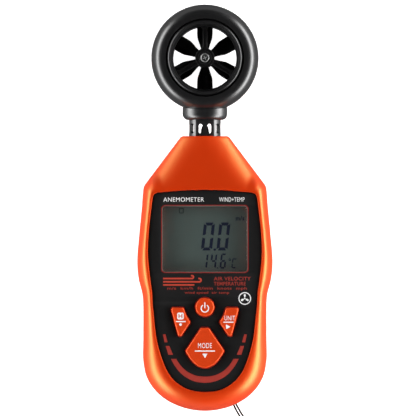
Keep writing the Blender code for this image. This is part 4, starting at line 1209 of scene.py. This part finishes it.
# Each turn: its half width and height at the lower fold; then the upper fold's middle x and y, its radius
# and the height after it
HANK_TURNS = (
    (7.2, LOW_Z, (-1.2, 9.0, 8.4, LOW_Z)),
    (9.6, LOW_Z, (0.6, 11.0, 9.0, HIGH_Z)),
    (8.4, HIGH_Z, None),
)
# Place along the clip, and share of the full section, with three grip grooves round the middle
CLIP_GROOVE = ((0.0, 1.0), (0.15, 0.93), (0.55, 0.93), (0.7, 1.0))
CLIP_STATIONS = (
    (-5.0, 0.8), (-4.9, 0.88), (-4.6, 0.95), (-4.2, 0.98),
    *((first + along, share) for first in (-2.4, -0.9, 0.6) for along, share in CLIP_GROOVE),
    (3.0, 0.98), (4.0, 0.92), (4.6, 0.8), (4.9, 0.68), (5.0, 0.58),
)
TIE_SIDE = (                 # the right half of the tie's section, from the middle's top round to its foot
    (0.0, 0.95), (2.6, 1.0), (4.6, 1.35), (5.9, 2.2), (7.0, 4.0), (7.6, 4.75), (8.4, 4.97), (9.2, 4.75),
    (9.8, 4.1), (10.9, 2.1), (11.08, 1.35), (10.8, 0.5), (10.1, 0.1), (9.4, 0.02), (4.0, 0.02),
)


def plaited_tube(name, points, radius, sides, pitch, relief=0.09):
    """A tube along points, in millimetres, with two sets of raised strands crossing round it."""
    shape = bmesh.new()
    rows = []
    travel = 0.0
    up = Vector((0.31, 0.17, 1.0))
    for i, here in enumerate(points):
        before, after = points[max(i - 1, 0)], points[min(i + 1, len(points) - 1)]
        along = (after - before).normalized()
        if i:
            travel += (here - before).length
        side = along.cross(up).normalized()
        up = side.cross(along).normalized()
        phase = 2 * pi * travel / pitch
        row = []
        for k in range(sides):
            turn = 2 * pi * k / sides
            weave = abs(sin(2 * turn + phase)) * abs(sin(2 * turn - phase))
            r = radius * (1 - relief + relief * 2 * weave)
            row.append(shape.verts.new((here + side * r * cos(turn) + up * r * sin(turn)) * MM))
        rows.append(row)
    bridge(shape, rows)
    shape.faces.new(rows[0][::-1])
    shape.faces.new(rows[-1])
    return from_bmesh(name, shape, CORD, 60)


def evenly(points, gap):
    """Points a fixed distance apart along a line of points."""
    found, left = [Vector(points[0])], gap
    for a, b in zip(points, points[1:]):
        a, b = Vector(a), Vector(b)
        length = (b - a).length
        while left <= length:
            found.append(a.lerp(b, left / length))
            left += gap
        left -= length
    return [*found, Vector(points[-1])]


def hank_route():
    """Out of the clip, round the hank's turns and back into the clip, over whatever it crosses."""
    route = list(LEAD_IN)
    for half, z, fold in HANK_TURNS:
        route += [(*p, z) for p in arc(0, FOLD_V, half, 180, 360, 12)]
        if fold:
            u, v, radius, after = fold
            route += [(half, run, z) for run in (-6.0, -1.0, 4.0)]
            for k, p in enumerate(arc(u, v, radius, 0, 180, 15)):
                rise, fall = eased(12 * k, 5, 54), eased(12 * k, 120, 168)
                route.append((*p, z + (OVER_Z - z) * rise + (after - OVER_Z) * fall))
            route += [(u - radius, run, after) for run in (4.0, -1.0, -6.0)]
    cx, cy = HANK_CENTRE
    return [(cx + u, cy + v, z) for u, v, z in (*route, *LEAD_OUT)]


def make_clip():
    """A small moulded barrel that holds the thin loop and both ends of the wrist cord."""
    x, y, z = CLIP
    half_w, _, half_h = CLIP_HALF
    rings = []
    for along, scale in CLIP_STATIONS:
        ring = []
        for a in (2 * pi * k / 48 for k in range(48)):
            across = scale * copysign(abs(cos(a)) ** 0.75, cos(a))
            up = scale * copysign(abs(sin(a)) ** 0.75, sin(a))
            ring.append((x + half_w * across, y + along, z + half_h * up))
        rings.append(ring)
    seams = [
        block(f"seam_{side}", (side - 0.4, y - 6, z - 0.08), (side + 0.4, y + 6, z + 0.08), BLACK)
        for side in (x - 3.35, x + 3.35)
    ]
    barrel = combine(loft("clip_barrel", rings, BLACK), seams)
    placed(barrel, "strap_clip")
    return barrel


def make_tie():
    """A woven band drawn in between the hank's two sides."""
    right = spline(TIE_SIDE, 3)
    outer = [*right[::-1], *[(-x, z) for x, z in right[1:]]]
    outer = outer if anticlockwise(outer) else outer[::-1]
    tie = plate("hank_tie", [outer, inset(outer, 0.3)], -1.5, 1.5, CORD)
    place = Matrix.Translation(Vector((HANK_CENTRE[0], HANK_CENTRE[1] + TIE_V, 0)) * MM)
    tie.data.transform(place @ Matrix.Rotation(radians(90), 4, "X"))
    placed(tie)
    return tie


def make_strap():
    clip, tie = make_clip(), make_tie()
    cords = []
    for name, points in STRANDS.items():
        in_case = Vector(points[0]) + Vector((-0.1 if "left" in name else 0.1, 1.0, 0.2))
        in_clip = Vector(points[-1]) + Vector((0, -1.2, 0))
        route = [tuple(in_case), *points, tuple(in_clip)]
        cords.append((name, route, STRAND_R, 0.2, 12, 1.1, "fitting", "loose", clip))
    cords.append(("strap_hank", hank_route(), WRIST_CORD_R, 0.3, 20, 2.6, "object", "coiled", tie))
    for node, route, radius, gap, sides, pitch, far_end, lay, partner in cords:
        line = evenly(spline(route, 10), gap)
        cord = plaited_tube(f"{node}_cord", line, radius, sides, pitch)
        placed(cord, node)


# ---- stage and light
def stage_piece(name, shape, tone, glow=0.98):
    """A floor or backdrop that glows evenly and adds nothing to the meter's light."""
    color = [tone] * 3
    new = Recipe(
        f"{name}_pale", Emission_Color=color, Emission_Strength=glow, Roughness=0.9, Specular_IOR_Level=0.0
    )
    new.give(Base_Color=new.mixed(new.noise(3.0), color, [c * 0.99 for c in color]))
    piece = from_bmesh(name, shape, new.made)
    piece.visible_glossy = piece.visible_diffuse = piece.visible_shadow = False
    return piece


def make_stage():
    disc = bmesh.new()
    bmesh.ops.create_circle(disc, cap_ends=True, segments=64, radius=6.0)
    bmesh.ops.translate(disc, vec=(0, 0, -0.00005), verts=disc.verts)
    ball = bmesh.new()
    bmesh.ops.create_uvsphere(ball, u_segments=48, v_segments=24, radius=7.0)
    stage_piece("floor", disc, 0.9)
    stage_piece("backdrop", ball, 0.96)


LAMPS = (          # direction in the floor plane, half width of the bright part and of the whole, radiance
    (186.0, 39.0, 57.0, 10.2),
    (-1.0, 38.0, 55.0, 12.8),
)


def make_light():
    """A dark studio with soft banks of light low on both sides, drawn as a function of direction."""
    world = bpy.data.worlds.new("studio")
    world.use_nodes = True
    tree = world.node_tree

    def math_node(operation, a, b):
        return sock(tree, "Math", settings={"operation": operation}, i0=a, i1=b)

    def ranged(value, source, target=(0.0, 1.0)):
        ends = dict(zip(("i1", "i2", "i3", "i4"), (*source, *target)))
        return sock(tree, "MapRange", settings={"interpolation_type": "SMOOTHSTEP"}, i0=value, **ends)

    def sine(degrees):
        return sin(radians(degrees))

    split = sock(tree, "SeparateXYZ", i0=sock(tree, "TexCoord", "Generated")).node
    flat = sock(tree, "CombineXYZ", X=split.outputs[0], Y=split.outputs[1])
    flat = sock(tree, "VectorMath", settings={"operation": "NORMALIZE"}, i0=flat)
    z = split.outputs[2]
    height = math_node("MULTIPLY", ranged(z, (sine(37), sine(10))), ranged(z, (sine(-17), sine(3))))
    dim = ranged(z, (-1.0, -0.2), (0.12, 0.6))
    total = math_node("MULTIPLY", dim, ranged(z, (0.05, -0.1), (0.07, 1.0)))
    for direction, bright, whole, radiance in LAMPS:
        aim = (cos(radians(direction)), sine(direction), 0)
        near = sock(tree, "VectorMath", "Value", {"operation": "DOT_PRODUCT"}, i0=flat, i1=aim)
        lobe = ranged(near, (sine(90 - whole), sine(90 - bright)), (0.0, radiance))
        total = math_node("ADD", total, math_node("MULTIPLY", lobe, height))
    feed(tree, tree.nodes["Background"], {"Strength": total, "Color": (1, 1, 1)})
    bpy.context.scene.world = world


# ---- build
for make in (
    make_strap, make_front_case, make_rear_case, make_door, make_panel, make_display, make_keys, make_neck,
    make_head, make_collar, make_guards, make_impeller, make_caps, make_stalk, make_stage, make_light,
):
    make()
bpy.context.scene.view_settings.view_transform = "Standard"
